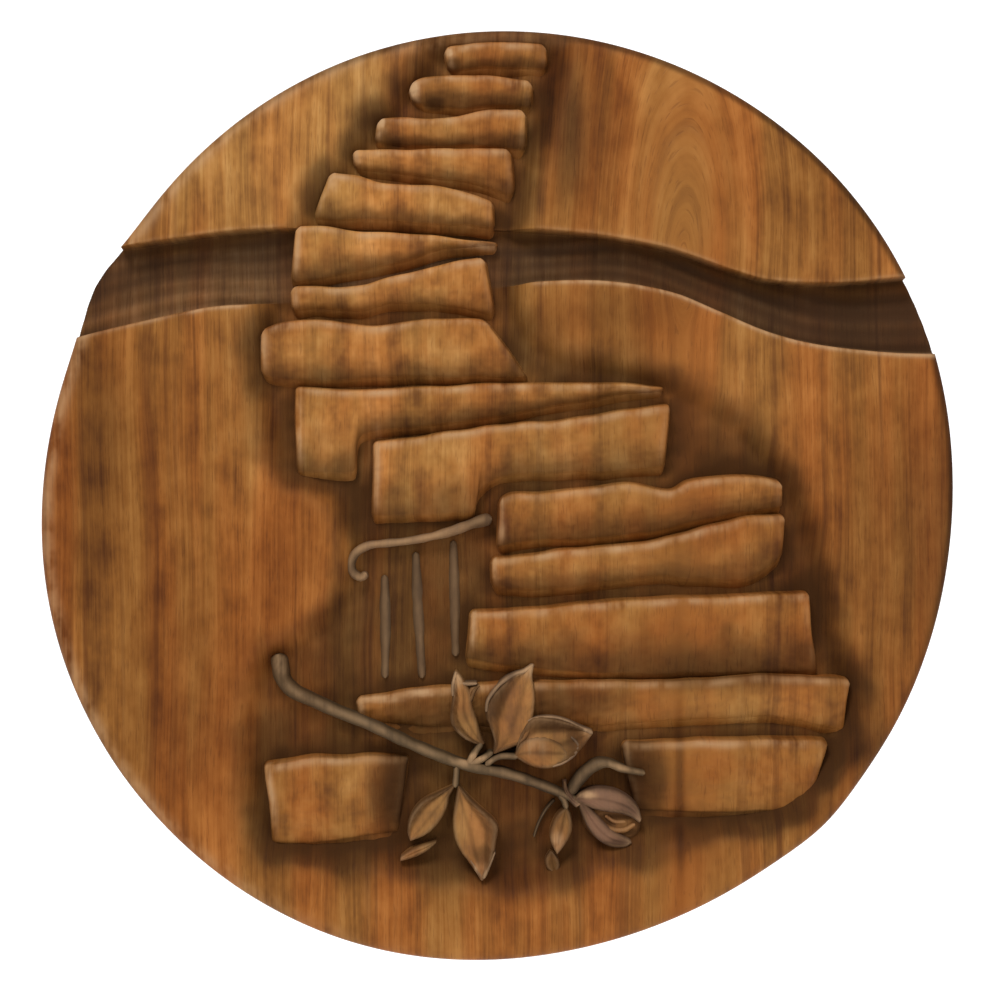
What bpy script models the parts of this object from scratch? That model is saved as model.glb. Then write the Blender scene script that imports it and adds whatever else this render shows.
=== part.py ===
"""Round carved wood wall plaque.

One thick board, sawn a little out of round, is carved on its front with a plank walk that comes
down over a river, and with a rose sprig laid across the lowest planks. The back is flat, with a
keyhole slot for a screw's head. The whole work is one piece of wood, so it is one object.

The carving is drawn in its own frame: x to the right, y up, z out of the face, with z = 0 on the
uncarved face and the origin at the panel's centre. Places in the picture are hundredths of the
panel's radius, and thicknesses, depths and widths of cuts are metres. The frame is then stood up,
so that the face looks along -Y, +Z is up and the origin is the centre of the back.
"""

import math

import bmesh
import bpy
from mathutils import Vector

# The board, in metres
PANEL_RADIUS = 0.200
PANEL_THICKNESS = 0.032
RIM_ROUND = 0.0045
BACK_CHAMFER = 0.0015

# Ground cut away below the uncarved face, in metres
RIVER_DEPTH_FAR = 0.0130
RIVER_DEPTH_NEAR = 0.0090
HOLLOW_DEPTH = 0.0100
HOLLOW_SLOPE = 0.0160

# Relief of the planks, in metres
PLANK_EDGE_ROUND = 0.0030
PLANK_EDGE_DROP = 0.0020
PLANK_CROWN = 0.0006
PLANK_DIP = 0.0042

# Relief of the sprig, in metres: depths are below the uncarved face
STEM_WIDTH = 0.0044
STEM_DEPTH = 0.0006
STALK_WIDTH = 0.0030
STALK_DEPTH = 0.0020
LEAF_DEPTH = 0.0008
LEAF_DROOP = 0.0018
LEAF_FOLD = 0.0018
LEAF_EDGE = 0.0014
BUD_DEPTH = 0.0026
BUD_HEIGHT = 0.0070
PETAL_WIDTH = 0.0030
PETAL_RISE = 0.0012
PETAL_DEEPEST = 0.0056

# Width that is left at the far end of a stem or a petal, and at the ends of a leaf, as a share of
# its greatest width
STEM_TAPER = 0.75
PETAL_TAPER = 0.6
LEAF_TIP = 0.07
# Where the crease of a curled leaf lies and half of any crease's width, as shares of half the leaf
CURLED_CREASE = 2 / 3
CREASE_WIDTH = 1 / 3

# Relief of the curled rail and the ribs behind it, in metres
RAIL_WIDTH = 0.0034
RAIL_DEPTH = 0.0036
RIB_WIDTH = 0.0022
RIB_HEIGHT = 0.0016

# The keyhole slot in the back, in metres
KEYHOLE_BELOW_TOP = 0.070
KEYHOLE_HEAD_WIDTH = 0.0105
KEYHOLE_NECK_WIDTH = 0.0056
KEYHOLE_TRAVEL = 0.0140
KEYHOLE_LIP = 0.0030
KEYHOLE_DEPTH = 0.0090

# How far raised wood runs on below the deepest ground, how far a cutter stands clear of the
# wood, how far above the face the hollow's slope starts, and the closest that two corners may
# come before they are one, in metres
ROOTING = 0.0020
CLEAR = 0.0020
HOLLOW_START = 0.0003
WELD = 1e-6
# Two faces that meet at less than this angle are one flat face
FLAT_ANGLE = math.radians(0.5)

# Fineness of the board: points round the rim and round the keyhole's hole, segments of the
# rounded rim, steps between two points of a smooth line, cells along and across the river
RIM_POINTS = 96
KEYHOLE_POINTS = 24
RIM_SEGMENTS = 3
LINE_STEPS = 2
RIVER_CELLS = (24, 1)

# Fineness of a plank: metres along it to a cell, cells across between its rounded edges, where
# the cells of a rounded edge end, and the most of a plank's width that one rounded edge takes
PLANK_STEP = 0.016
PLANK_ROWS = 2
EDGE_STATIONS = (0, 0.3, 1)
MOST_ROUNDING = 0.25

# Fineness of the sprig: sides of a ridge, steps along a petal's edge, and cells along and across
# a leaf and the bud
RIDGE_SIDES = 4
PETAL_STEPS = 6
LEAF_CELLS = (8, 6)
BUD_CELLS = (8, 6)

UNIT = PANEL_RADIUS / 100
ROOT_DEPTH = max(RIVER_DEPTH_FAR, RIVER_DEPTH_NEAR, HOLLOW_DEPTH) + ROOTING

# The sawn rim departs from a circle by these waves: share of the radius, waves per turn, peak
RIM_WAVES = (
    (0.0026, 1, math.radians(-16)),
    (0.0164, 2, math.radians(62)),
    (0.0053, 3, math.radians(-26)),
    (0.0017, 4, math.radians(39)),
    (0.0030, 5, math.radians(-34)),
    (0.0014, 6, math.radians(18)),
)
# Where the rim bulges, at the river's left mouth and low on the right: share of the radius, angle
# and half width
RIM_BULGES = (
    (0.018, math.radians(152), math.radians(5.5)),
    (0.008, math.radians(315), math.radians(6)),
)

# The river's upper and lower banks, from left to right
UPPER_BANK = (
    (-108, 52), (-80, 55), (-58, 57.8), (-30, 59), (0, 58.8), (24, 56.6), (38, 53.8), (52, 49),
    (64, 46.6), (78, 47), (108, 49),
)
LOWER_BANK = (
    (-108, 30), (-90, 34.6), (-69, 40), (-50, 42), (-20, 43.5), (5, 46), (22, 46.8), (36, 45),
    (50, 39.4), (64, 34), (82, 31.6), (108, 31),
)

# The edge of the ground hollowed out round the walk and the sprig, from the top left round below
HOLLOW = (
    (-16, 102.5), (-25, 91), (-38, 74), (-48, 58), (-54, 44), (-57, 29), (-53, 9), (-47, 0.5),
    (-38.5, -4), (-37, -17), (-45, -26.5), (-56.5, -35), (-58.5, -60), (-54, -78), (-32, -82),
    (4, -88), (32, -79), (60, -73.5), (73, -62), (82, -45), (77, -25), (71, 0), (60, 16), (45, 27),
    (30, 33.5), (13, 37), (8, 52), (14, 76), (20, 102),
)
# The hollow's side, as shares of its slope's width and of its depth, from the edge inwards
HOLLOW_PROFILE = ((0.34, 0.16), (0.34, 0.52), (0.32, 0.32))

# Each plank: its cross sections from left to right, as the head's x and y and the foot's x and y,
# then how far its left and right ends lie below the uncarved face, in metres
PLANKS = (
    (((-11.8, 97.2, -10.8, 92.6), (-4, 98.5, -3, 93.4), (10.4, 98.3, 11, 93)), 0.0026, 0.0026),
    (((-19.2, 89.4, -18.4, 85.2), (-12, 91.6, -8, 84.6), (7.6, 90.4, 7, 84.8)), 0.0022, 0.0024),
    (((-26, 82.4, -26.8, 76.8), (-9, 82.4, -9, 76.2), (6, 84.2, 6.2, 75.4)), 0.0018, 0.0022),
    (((-31, 75.5, -31, 73), (-14, 75.4, -14, 69.4), (2.6, 75.6, 3.6, 65.2)), 0.0016, 0.0020),
    (((-36.4, 70.4, -40, 60.6), (-18, 67.6, -20, 59.8), (-0.8, 64.3, -0.6, 58.4)), 0.0014, 0.0020),
    (((-43.5, 58.7, -44.8, 46.6), (-22, 57.4, -22, 51), (-0.5, 55.8, -0.5, 54.6)), 0.0010, 0.0022),
    (
        (
            (-45, 45.6, -44.8, 40.4), (-31, 45.8, -31, 40.6), (-18, 48.8, -18, 41.8),
            (-2.6, 52.2, -0.8, 39.4),
        ),
        0.0010,
        0.0014,
    ),
    (
        (
            (-51.2, 36.6, -51.2, 26.4), (-40, 38.4, -40, 25.4), (-27, 37, -26, 25.8),
            (-14, 38.7, -10, 26), (-2.4, 38.2, 6.6, 26),
        ),
        0.0006,
        0.0012,
    ),
    (
        (
            (-44, 23.8, -43.8, 5.2), (-34.5, 23.4, -34.5, 5.2), (-29, 23.4, -29, 12.6),
            (-14, 24, -14, 15.4), (8, 24.6, 8, 18.4), (36, 24.2, 36, 22.6),
        ),
        0.0006,
        0.0022,
    ),
    (
        (
            (-26.8, 11.8, -27, -4.4), (-8, 14.2, -8, -3.6), (-2, 15.2, -2, 3.2),
            (12, 16.4, 12, 5), (37.2, 20, 36.4, 6.2),
        ),
        0.0005,
        0.0008,
    ),
    (
        ((0.2, 0.4, 0.2, -11.2), (14, 1.4, 14, -9.6), (30, 2.6, 32, -8), (62, 4.2, 62, -2)),
        0.0005,
        0.0008,
    ),
    (
        (
            (-1.2, -13.2, -1.2, -19.6), (14, -11.4, 14, -19.6), (34, -9.4, 34, -17.6),
            (54, -4.2, 54, -17.8), (62.4, -3.4, 62, -13.4),
        ),
        0.0005,
        0.0008,
    ),
    (((-5.6, -25, -6.6, -35.6), (24, -22.3, 24, -38), (67, -20.8, 69.4, -38)), 0.0005, 0.0006),
    (
        (
            (-30.5, -43.6, -30, -49), (-10, -41, -10, -50), (14, -39.8, 20, -49.6),
            (44, -39.4, 46, -48.2), (76.4, -39.2, 75.2, -50.6),
        ),
        0.0052,
        0.0005,
    ),
    (((-50.2, -57.6, -49, -75), (-38, -56.3, -37, -74.4), (-19.5, -56, -21.5, -72.4)), 0.0005, 0.0050),
    (((27, -53.2, 30, -67.8), (48, -52.4, 50, -68.4), (71.6, -52.4, 69, -66.4)), 0.0042, 0.0005),
)

# The rose's stem from its cut end to the flower, the long sepal, and the curled rail
STEM = (
    (-47.6, -34.4), (-47, -38.6), (-43.6, -42.6), (-35, -46.6), (-24, -51.2), (-13, -56),
    (0, -59.6), (10, -62.8), (18, -66),
)
SEPAL = ((16.5, -64.5), (18.6, -60.4), (22.6, -57.8), (27, -58.8), (31.6, -59.8))
RAIL = (
    (-28.6, -16.4), (-30.6, -17), (-31.8, -14), (-29.6, -10.8), (-22, -9.4), (-13, -7.8), (-2, -4.6),
)

# Short stalks between the stem and its leaves, and the upright ribs below the rail
STALKS = (
    ((-3.6, -58.2), (-1.2, -55.4), (3, -55.8)),
    ((-8.8, -58.2), (-8.9, -60.8), (-9, -62.6)),
    ((-5, -57.6), (-5.4, -55.6), (-4.4, -53.4)),
    ((13, -64.2), (14.6, -66), (14.8, -68)),
)
RIBS = (
    ((-24.6, -17), (-24.5, -39)),
    ((-17.8, -12), (-16.4, -39)),
    ((-9.6, -9.5), (-9.2, -34)),
)

# Each leaf: where it leaves its stalk, its tip, its half widths to the left and the right of the
# line between them as seen from the base, how far along it is widest, and which side curls up:
# 1 for the left one, 0 for neither
LEAVES = (
    ((-4, -54), (-8.8, -38), 4.6, 2.2, 0.48, 0),
    ((-0.6, -55.6), (7.8, -36), 5.6, 5.2, 0.42, 1),
    ((3.6, -56), (20.6, -50.8), 6.8, 4.0, 0.48, 1),
    ((-9.3, -62.4), (-20.6, -77.8), 4.2, 4.2, 0.52, 1),
    ((-8.6, -62.4), (-3.4, -82.6), 5.2, 3.8, 0.54, 0),
    ((14.8, -67), (12.9, -78.6), 2.8, 3.0, 0.50, 0),
)

# The rosebud's heart: its centre, half its length and width, and the turn of its length. Then the
# petal that wraps it from above, as a leaf, and the edges of the petals below, as shares of the
# heart's size, each with the angles where it starts and ends
BUD_CENTRE = (24.5, -70.2)
BUD_HALF_SIZE = (7.2, 5.0)
BUD_TURN = math.radians(-25)
TOP_PETAL = ((16.6, -65.2), (31.8, -69.8), 3.8, 1.6, 0.46, 0)
PETALS = (
    (1.0, math.radians(190), math.radians(300)),
    (0.55, math.radians(180), math.radians(345)),
)

WOOD_COLOUR = (0.30, 0.135, 0.040, 1.0)
WOOD_ROUGHNESS = 0.42


def clear_scene():
    for obj in list(bpy.data.objects):
        bpy.data.objects.remove(obj)


def new_group(name):
    group = bpy.data.collections.new(name)
    bpy.context.scene.collection.children.link(group)
    return group


def wood():
    material = bpy.data.materials.new("stained_wood")
    material.use_nodes = True
    shader = material.node_tree.nodes["Principled BSDF"]
    shader.inputs["Base Color"].default_value = WOOD_COLOUR
    shader.inputs["Roughness"].default_value = WOOD_ROUGHNESS
    shader.inputs["Metallic"].default_value = 0.0
    return material


def place(obj, group, frame):
    """Puts an object in its group and in the carving's frame."""
    group.objects.link(obj)
    obj.parent = frame


def helper(obj):
    """Marks an object as one that only cuts the panel or is joined to it."""
    obj.hide_render = True
    obj.display_type = "WIRE"
    return obj


def in_metres(points):
    return [(x * UNIT, y * UNIT) for x, y in points]


def straight_line(points):
    return [Vector(point) for point in in_metres(points)]


def smooth_line(points):
    """A smooth line through the points, by Catmull and Rom's cubic on each span."""
    knots = [Vector(p) for p in points]
    ends = [2 * knots[0] - knots[1], *knots, 2 * knots[-1] - knots[-2]]
    line = []
    for before, start, end, after in zip(ends, ends[1:], ends[2:], ends[3:]):
        for step in range(LINE_STEPS):
            t = step / LINE_STEPS
            line.append(
                0.5
                * (
                    2 * start
                    + (end - before) * t
                    + (2 * before - 5 * start + 4 * end - after) * t**2
                    + (3 * start - before - 3 * end + after) * t**3
                )
            )
    return [*line, knots[-1]]


def length_of(line):
    return sum((b - a).length for a, b in zip(line, line[1:]))


def along(line, distance):
    """The point at a distance along a line of vectors."""
    left = distance
    for a, b in zip(line, line[1:]):
        span = (b - a).length
        if left <= span:
            return a.lerp(b, left / span)
        left -= span
    return line[-1]


def mesh_of_curve(curve, name):
    """The curve's own surface as a mesh, with its caps welded to its sides."""
    temporary = bpy.data.objects.new(name, curve)
    bpy.context.scene.collection.objects.link(temporary)
    graph = bpy.context.evaluated_depsgraph_get()
    mesh = bpy.data.meshes.new_from_object(temporary.evaluated_get(graph))
    bpy.data.objects.remove(temporary)
    bm = bmesh.new()
    bm.from_mesh(mesh)
    bmesh.ops.remove_doubles(bm, verts=bm.verts[:], dist=WELD)
    bmesh.ops.recalc_face_normals(bm, faces=bm.faces[:])
    bm.to_mesh(mesh)
    bm.free()
    return mesh


def slab(name, outline, low, high):
    """A flat outline, in metres, made solid from height low to height high."""
    curve = bpy.data.curves.new(name, "CURVE")
    curve.dimensions = "2D"
    curve.fill_mode = "BOTH"
    curve.extrude = (high - low) / 2
    spline = curve.splines.new("POLY")
    spline.points.add(len(outline) - 1)
    spline.use_cyclic_u = True
    for point, (x, y) in zip(spline.points, outline):
        point.co = (x, y, 0, 1)
    mesh = mesh_of_curve(curve, name)
    bm = bmesh.new()
    bm.from_mesh(mesh)
    bmesh.ops.translate(bm, verts=bm.verts[:], vec=(0, 0, (low + high) / 2))
    flat = [edge for edge in bm.edges if edge.calc_face_angle(math.pi) < FLAT_ANGLE]
    bmesh.ops.dissolve_edges(bm, edges=flat)
    bm.to_mesh(mesh)
    bm.free()
    return bpy.data.objects.new(name, mesh)


def relief(name, cells, surface, side_end=-ROOT_DEPTH):
    """A grid laid over surface(s, t), made solid by carrying its sides on to height side_end."""
    bm = bmesh.new()
    bmesh.ops.create_grid(bm, x_segments=cells[0], y_segments=cells[1], size=0.5)
    for vert in bm.verts:
        vert.co = surface(vert.co.x + 0.5, vert.co.y + 0.5)
    sides = bmesh.ops.extrude_face_region(bm, geom=bm.faces[:])
    for item in sides["geom"]:
        if isinstance(item, bmesh.types.BMVert):
            item.co.z = side_end
    bmesh.ops.recalc_face_normals(bm, faces=bm.faces[:])
    mesh = bpy.data.meshes.new(name)
    bm.to_mesh(mesh)
    bm.free()
    return bpy.data.objects.new(name, mesh)


def ridge(name, line, width, depth, taper=1.0):
    """A round-topped ridge along a line of vectors. Its top lies that far below the face."""
    spans = [(b - a).normalized() for a, b in zip(line, line[1:])]

    def surface(s, t):
        i = round(s * len(spans))
        direction = (spans[max(i - 1, 0)] + spans[min(i, len(spans) - 1)]).normalized()
        side = Vector((-direction.y, direction.x))
        half = width / 2 * (1 + (taper - 1) * s)
        point = line[i] - side * half * math.cos(math.pi * t)
        return (point.x, point.y, -depth - half * (1 - math.sin(math.pi * t)))

    return relief(name, (len(spans), RIDGE_SIDES), surface)


def rim_outline():
    """The sawn rim, anticlockwise: a circle with a few slow waves and two bulges in its radius."""
    points = []
    for i in range(RIM_POINTS):
        angle = math.tau * i / RIM_POINTS
        waves = sum(size * math.cos(n * (angle - peak)) for size, n, peak in RIM_WAVES)
        bulges = sum(size * math.exp(-(((angle - at) / half) ** 2)) for size, at, half in RIM_BULGES)
        radius = PANEL_RADIUS * (1 + waves + bulges)
        points.append((radius * math.cos(angle), radius * math.sin(angle)))
    return points


def uncarved_board(material):
    """The sawn board with its front edge rounded and its back edge chamfered."""
    board = slab("carved_panel", rim_outline(), -PANEL_THICKNESS, 0)
    bm = bmesh.new()
    bm.from_mesh(board.data)
    for height, width, segments in (
        (0, RIM_ROUND, RIM_SEGMENTS),
        (-PANEL_THICKNESS, BACK_CHAMFER, 1),
    ):
        edges = [
            edge
            for edge in bm.edges
            if all(abs(vert.co.z - height) < WELD for vert in edge.verts)
        ]
        bmesh.ops.bevel(
            bm, geom=edges, offset=width, segments=segments, affect="EDGES", profile=0.5
        )
    bm.to_mesh(board.data)
    bm.free()
    board.data.materials.append(material)
    return board


def hollow_cutter():
    """The hollowed ground: it falls away slowly at first, then steeply, then runs flat."""
    outline = [tuple(point) for point in smooth_line(in_metres(HOLLOW))]
    cutter = slab("cut_hollow", outline, HOLLOW_START, CLEAR)
    bm = bmesh.new()
    bm.from_mesh(cutter.data)
    floor = min(bm.faces, key=lambda face: face.calc_center_median().z)
    for width_share, depth_share in HOLLOW_PROFILE:
        bmesh.ops.inset_region(
            bm,
            faces=[floor],
            thickness=HOLLOW_SLOPE * width_share,
            depth=(HOLLOW_DEPTH + HOLLOW_START) * depth_share,
            use_even_offset=True,
        )
    bm.to_mesh(cutter.data)
    bm.free()
    return cutter


def river_cutter():
    """The river's bed, deepest under the upper bank and rising towards the lower one."""
    upper = smooth_line(in_metres(UPPER_BANK))
    lower = smooth_line(in_metres(LOWER_BANK))

    def surface(s, t):
        near = along(lower, s * length_of(lower))
        far = along(upper, s * length_of(upper))
        point = near.lerp(far, t)
        return (point.x, point.y, -RIVER_DEPTH_NEAR - (RIVER_DEPTH_FAR - RIVER_DEPTH_NEAR) * t)

    return relief("cut_river", RIVER_CELLS, surface, CLEAR)


def slot_outline(width, low, high):
    """A slot with round ends, from height low to height high up the panel's middle."""
    half_turn = KEYHOLE_POINTS // 2
    points = []
    for centre, start in ((high, 0.0), (low, math.pi)):
        for i in range(half_turn + (high > low)):
            angle = start + math.pi * i / half_turn
            points.append((width / 2 * math.cos(angle), centre + width / 2 * math.sin(angle)))
    return points


def keyhole_cutters():
    """The hole for the screw's head, the neck above it, and the wider slot behind the neck."""
    entry = PANEL_RADIUS - KEYHOLE_BELOW_TOP
    seat = entry + KEYHOLE_TRAVEL
    back = -PANEL_THICKNESS
    bottom = back + KEYHOLE_DEPTH
    hole = slot_outline(KEYHOLE_HEAD_WIDTH, entry, entry)
    neck = slot_outline(KEYHOLE_NECK_WIDTH, entry, seat)
    behind = slot_outline(KEYHOLE_HEAD_WIDTH, entry, seat)
    return [
        slab("cut_keyhole_hole", hole, back - CLEAR, bottom),
        slab("cut_keyhole_neck", neck, back - CLEAR, bottom),
        slab("cut_keyhole_behind", behind, back + KEYHOLE_LIP, bottom),
    ]


def stations(length, inner_cells):
    """Distances along a length: close together where both ends round over, then even."""
    edge = min(PLANK_EDGE_ROUND, length * MOST_ROUNDING)
    near = [edge * share for share in EDGE_STATIONS]
    middle = [edge + (length - 2 * edge) * i / inner_cells for i in range(1, inner_cells)]
    return near + middle + [length - distance for distance in reversed(near)]


def edge_drop(distance):
    """How far a plank's face has dropped at a distance from its edge: a quarter of an oval."""
    reach = min(distance / PLANK_EDGE_ROUND, 1)
    return PLANK_EDGE_DROP * (1 - math.sqrt(1 - (1 - reach) ** 2))


def plank(number, sections, left_depth, right_depth):
    """A plank that stands proud at its head, is slightly crowned, and dips towards its foot."""
    line = smooth_line([Vector(section) * UNIT for section in sections])
    length = length_of(line)
    columns = stations(length, max(2, round(length / PLANK_STEP)))

    def surface(s, t):
        distance = columns[round(s * (len(columns) - 1))]
        section = along(line, distance)
        head = Vector(section[:2])
        foot = Vector(section[2:])
        width = (head - foot).length
        rows = stations(width, PLANK_ROWS)
        row = rows[round(t * (len(rows) - 1))]
        from_end = min(distance, length - distance)
        from_side = min(row, width - row)
        corner = min(PLANK_EDGE_ROUND, width * MOST_ROUNDING)
        tuck = corner * max(0, 1 - from_end / PLANK_EDGE_ROUND) ** 2
        rise = (tuck + row * (1 - 2 * tuck / width)) / width
        point = foot.lerp(head, rise)
        depth = left_depth + (right_depth - left_depth) * distance / length
        depth += PLANK_DIP * (1 - rise) ** 2
        depth += edge_drop(from_end) + edge_drop(from_side)
        depth -= PLANK_CROWN * math.sin(math.pi * distance / length)
        return (point.x, point.y, -depth)

    cells = (len(columns) - 1, len(stations(length, PLANK_ROWS)) - 1)
    return relief(f"join_plank_{number:02}", cells, surface)


def leaf(name, base, tip, left, right, widest, curled):
    """A pointed leaf, creased along its middle, or along a side whose edge curls up as a rim."""
    start = Vector(base) * UNIT
    axis = Vector(tip) * UNIT - start
    side = Vector((-axis.y, axis.x)).normalized()
    bend = math.log(0.5) / math.log(widest)
    crease_at = curled * CURLED_CREASE

    def surface(s, t):
        across = 2 * t - 1
        swell = math.sin(math.pi * s**bend)
        half = (left if across > 0 else right) * UNIT
        point = start + axis * s + side * across * half * (LEAF_TIP + (1 - LEAF_TIP) * swell)
        crease = max(0, 1 - abs(across - crease_at) / CREASE_WIDTH)
        edge = 0 if across * curled > 0 else across**2
        depth = LEAF_DEPTH + LEAF_DROOP * s**2 + LEAF_FOLD * swell * crease + LEAF_EDGE * edge
        return (point.x, point.y, -depth)

    return relief(name, LEAF_CELLS, surface)


def bud_point(reach, angle):
    """A point of the bud's oval, in hundredths: a share of its size at an angle from its length."""
    a = reach * BUD_HALF_SIZE[0] * math.cos(angle)
    b = reach * BUD_HALF_SIZE[1] * math.sin(angle)
    return (
        BUD_CENTRE[0] + a * math.cos(BUD_TURN) - b * math.sin(BUD_TURN),
        BUD_CENTRE[1] + a * math.sin(BUD_TURN) + b * math.cos(BUD_TURN),
    )


def bud_depth(reach):
    """How far the dome of the bud lies below the face, at a share of its size from its centre."""
    return BUD_DEPTH + BUD_HEIGHT * (1 - math.sqrt(1 - reach**2))


def bud():
    """The closed rose: a plump oval dome. The square grid is drawn in to the oval's shape."""

    def surface(s, t):
        a, b = 2 * s - 1, 2 * t - 1
        across = a * math.sqrt(1 - b**2 / 2)
        up = b * math.sqrt(1 - a**2 / 2)
        reach = min(math.hypot(across, up), 1)
        x, y = in_metres([bud_point(reach, math.atan2(up, across))])[0]
        return (x, y, -bud_depth(reach))

    return relief("join_bud", BUD_CELLS, surface)


def petal(number, share, start, end):
    """The edge of a petal: a low ridge along part of a smaller oval."""
    turn = end - start
    arc = [bud_point(share, start + turn * i / PETAL_STEPS) for i in range(PETAL_STEPS + 1)]
    depth = min(bud_depth(share), PETAL_DEEPEST) - PETAL_RISE
    return ridge(f"join_petal_{number}", straight_line(arc), PETAL_WIDTH, depth, PETAL_TAPER)


def raised_pieces():
    """Everything that stands up from the hollowed ground."""
    pieces = [plank(number, *row) for number, row in enumerate(PLANKS, 1)]
    pieces += [leaf(f"join_leaf_{number}", *row) for number, row in enumerate(LEAVES, 1)]
    pieces.append(leaf("join_top_petal", *TOP_PETAL))
    pieces += [petal(number, *row) for number, row in enumerate(PETALS, 1)]
    pieces.append(bud())
    stem = smooth_line(in_metres(STEM))
    sepal = smooth_line(in_metres(SEPAL))
    rail = smooth_line(in_metres(RAIL))
    pieces.append(ridge("join_stem", stem, STEM_WIDTH, STEM_DEPTH, STEM_TAPER))
    pieces.append(ridge("join_sepal", sepal, STALK_WIDTH, STALK_DEPTH, STEM_TAPER))
    pieces.append(ridge("join_rail", rail, RAIL_WIDTH, RAIL_DEPTH))
    for number, row in enumerate(STALKS, 1):
        stalk = ridge(f"join_stalk_{number}", straight_line(row), STALK_WIDTH, STALK_DEPTH)
        pieces.append(stalk)
    for number, row in enumerate(RIBS, 1):
        rib_depth = HOLLOW_DEPTH - RIB_HEIGHT
        pieces.append(ridge(f"join_rib_{number}", straight_line(row), RIB_WIDTH, rib_depth))
    return pieces


def carve(board, recesses, raised):
    """Cuts the recesses out of the board, then joins what is raised to it."""
    for name, operation, group in (
        ("cut_recesses", "DIFFERENCE", recesses),
        ("join_raised", "UNION", raised),
    ):
        step = board.modifiers.new(name, "BOOLEAN")
        step.operation = operation
        step.operand_type = "COLLECTION"
        step.collection = group
        step.solver = "EXACT"


def main():
    clear_scene()
    frame = bpy.data.objects.new("plaque_frame", None)
    bpy.context.scene.collection.objects.link(frame)
    frame.location = (0, -PANEL_THICKNESS, 0)
    frame.rotation_euler = (math.pi / 2, 0, 0)

    plaque = new_group("carved_wall_plaque")
    recesses = new_group("recess_cutters")
    raised = new_group("raised_carving")

    board = uncarved_board(wood())
    place(board, plaque, frame)
    for cutter in (hollow_cutter(), river_cutter(), *keyhole_cutters()):
        place(helper(cutter), recesses, frame)
    for piece in raised_pieces():
        place(helper(piece), raised, frame)
    carve(board, recesses, raised)


main()
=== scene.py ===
"""Round carved wood wall plaque, dressed for the camera.

The plaque is one board carved in relief: two banks with a river between them, a plank walk that
comes down over the river, and a rose sprig laid across the lowest planks. Each operator below makes
one part of the carving as a closed mesh, and all of them together stand for the one solid.

Places in the picture are hundredths of the panel's radius from its centre, x to the right and y up,
as they are in the part's source. Depths are metres below the uncarved face. A surface is worked out
as arrays of x, y and depth, and the world's point is (x, face + depth, y).
"""

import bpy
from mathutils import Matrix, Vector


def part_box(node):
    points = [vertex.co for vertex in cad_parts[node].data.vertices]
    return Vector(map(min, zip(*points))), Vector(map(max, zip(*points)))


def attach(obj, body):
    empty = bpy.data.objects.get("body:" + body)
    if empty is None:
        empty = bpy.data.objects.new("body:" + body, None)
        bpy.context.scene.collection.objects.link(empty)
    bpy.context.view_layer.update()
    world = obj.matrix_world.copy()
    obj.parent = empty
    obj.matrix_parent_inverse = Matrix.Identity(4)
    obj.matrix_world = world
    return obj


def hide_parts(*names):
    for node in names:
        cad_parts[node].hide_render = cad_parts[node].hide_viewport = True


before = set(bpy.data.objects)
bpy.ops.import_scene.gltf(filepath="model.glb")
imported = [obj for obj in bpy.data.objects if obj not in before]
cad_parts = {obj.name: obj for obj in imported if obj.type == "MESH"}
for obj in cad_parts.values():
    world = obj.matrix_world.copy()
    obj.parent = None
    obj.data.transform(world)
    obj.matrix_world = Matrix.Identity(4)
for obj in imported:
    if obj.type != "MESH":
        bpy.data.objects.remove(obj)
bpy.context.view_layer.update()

import math

import bpy
import numpy as np
from bpy.props import FloatProperty, FloatVectorProperty, IntProperty, PointerProperty
from bpy.types import Operator, Panel, PropertyGroup

bl_info = {
    "name": "Carved Wall Plaque",
    "version": (1, 0, 0),
    "blender": (4, 5, 0),
    "location": "3D View > Sidebar > Plaque",
    "description": "Round wood plaque carved with a plank walk, a river and a rose sprig",
    "category": "Add Mesh",
}

NODE = "carved_panel"
BODY = "root"
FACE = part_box(NODE)[0].y
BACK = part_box(NODE)[1].y
THICKNESS = BACK - FACE

# The sawn rim departs from a circle by these waves: share of the radius, waves per turn, peak
RIM_WAVES = (
    (0.0026, 1, math.radians(-16)),
    (0.0164, 2, math.radians(62)),
    (0.0053, 3, math.radians(-26)),
    (0.0017, 4, math.radians(39)),
    (0.0030, 5, math.radians(-34)),
    (0.0014, 6, math.radians(18)),
)
# Where the rim bulges, at the river's left mouth and low on the right: share of the radius, angle
# and half width
RIM_BULGES = (
    (0.018, math.radians(152), math.radians(5.5)),
    (0.008, math.radians(315), math.radians(6)),
)
# How much was sanded off the sawn rim, in metres
RIM_SANDED = 0.0001

# The river's upper and lower banks, from left to right
UPPER_BANK = (
    (-108, 52), (-92, 53.4), (-80, 54.6), (-69, 56.2), (-56.6, 57.8), (-44.8, 58.4), (-30, 59),
    (-14, 59), (1.4, 58.4), (12, 57.8), (23.5, 56.6), (37.3, 53.9), (51.1, 49.2), (60.1, 46.9),
    (73.9, 46.5), (85.6, 47.5), (108, 49.4),
)
LOWER_BANK = (
    (-108, 30), (-90.1, 34.8), (-80, 37.3), (-69, 39.8), (-60.7, 41.3), (-49.7, 41.9),
    (-20, 43.5), (2.1, 45.6), (9.7, 46.7), (23.5, 46.8), (37.3, 44.5), (47.6, 40.4), (58, 36),
    (68.4, 33.2), (82.2, 31.5), (93.2, 31), (108, 31),
)

# The edge of the ground hollowed out round the walk and the sprig, from the top left round below
HOLLOW = (
    (-16, 102.5), (-25, 91), (-38, 74), (-48, 58), (-54, 44), (-57, 29), (-53, 9), (-47, 0.5),
    (-38.5, -4), (-37, -17), (-45, -26.5), (-56.5, -35), (-58.5, -60), (-54, -78), (-32, -82),
    (4, -88), (32, -79), (60, -73.5), (73, -62), (82, -45), (77, -25), (71, 0), (60, 16), (45, 27),
    (30, 33.5), (13, 37), (8, 52), (14, 76), (20, 102),
)

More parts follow.
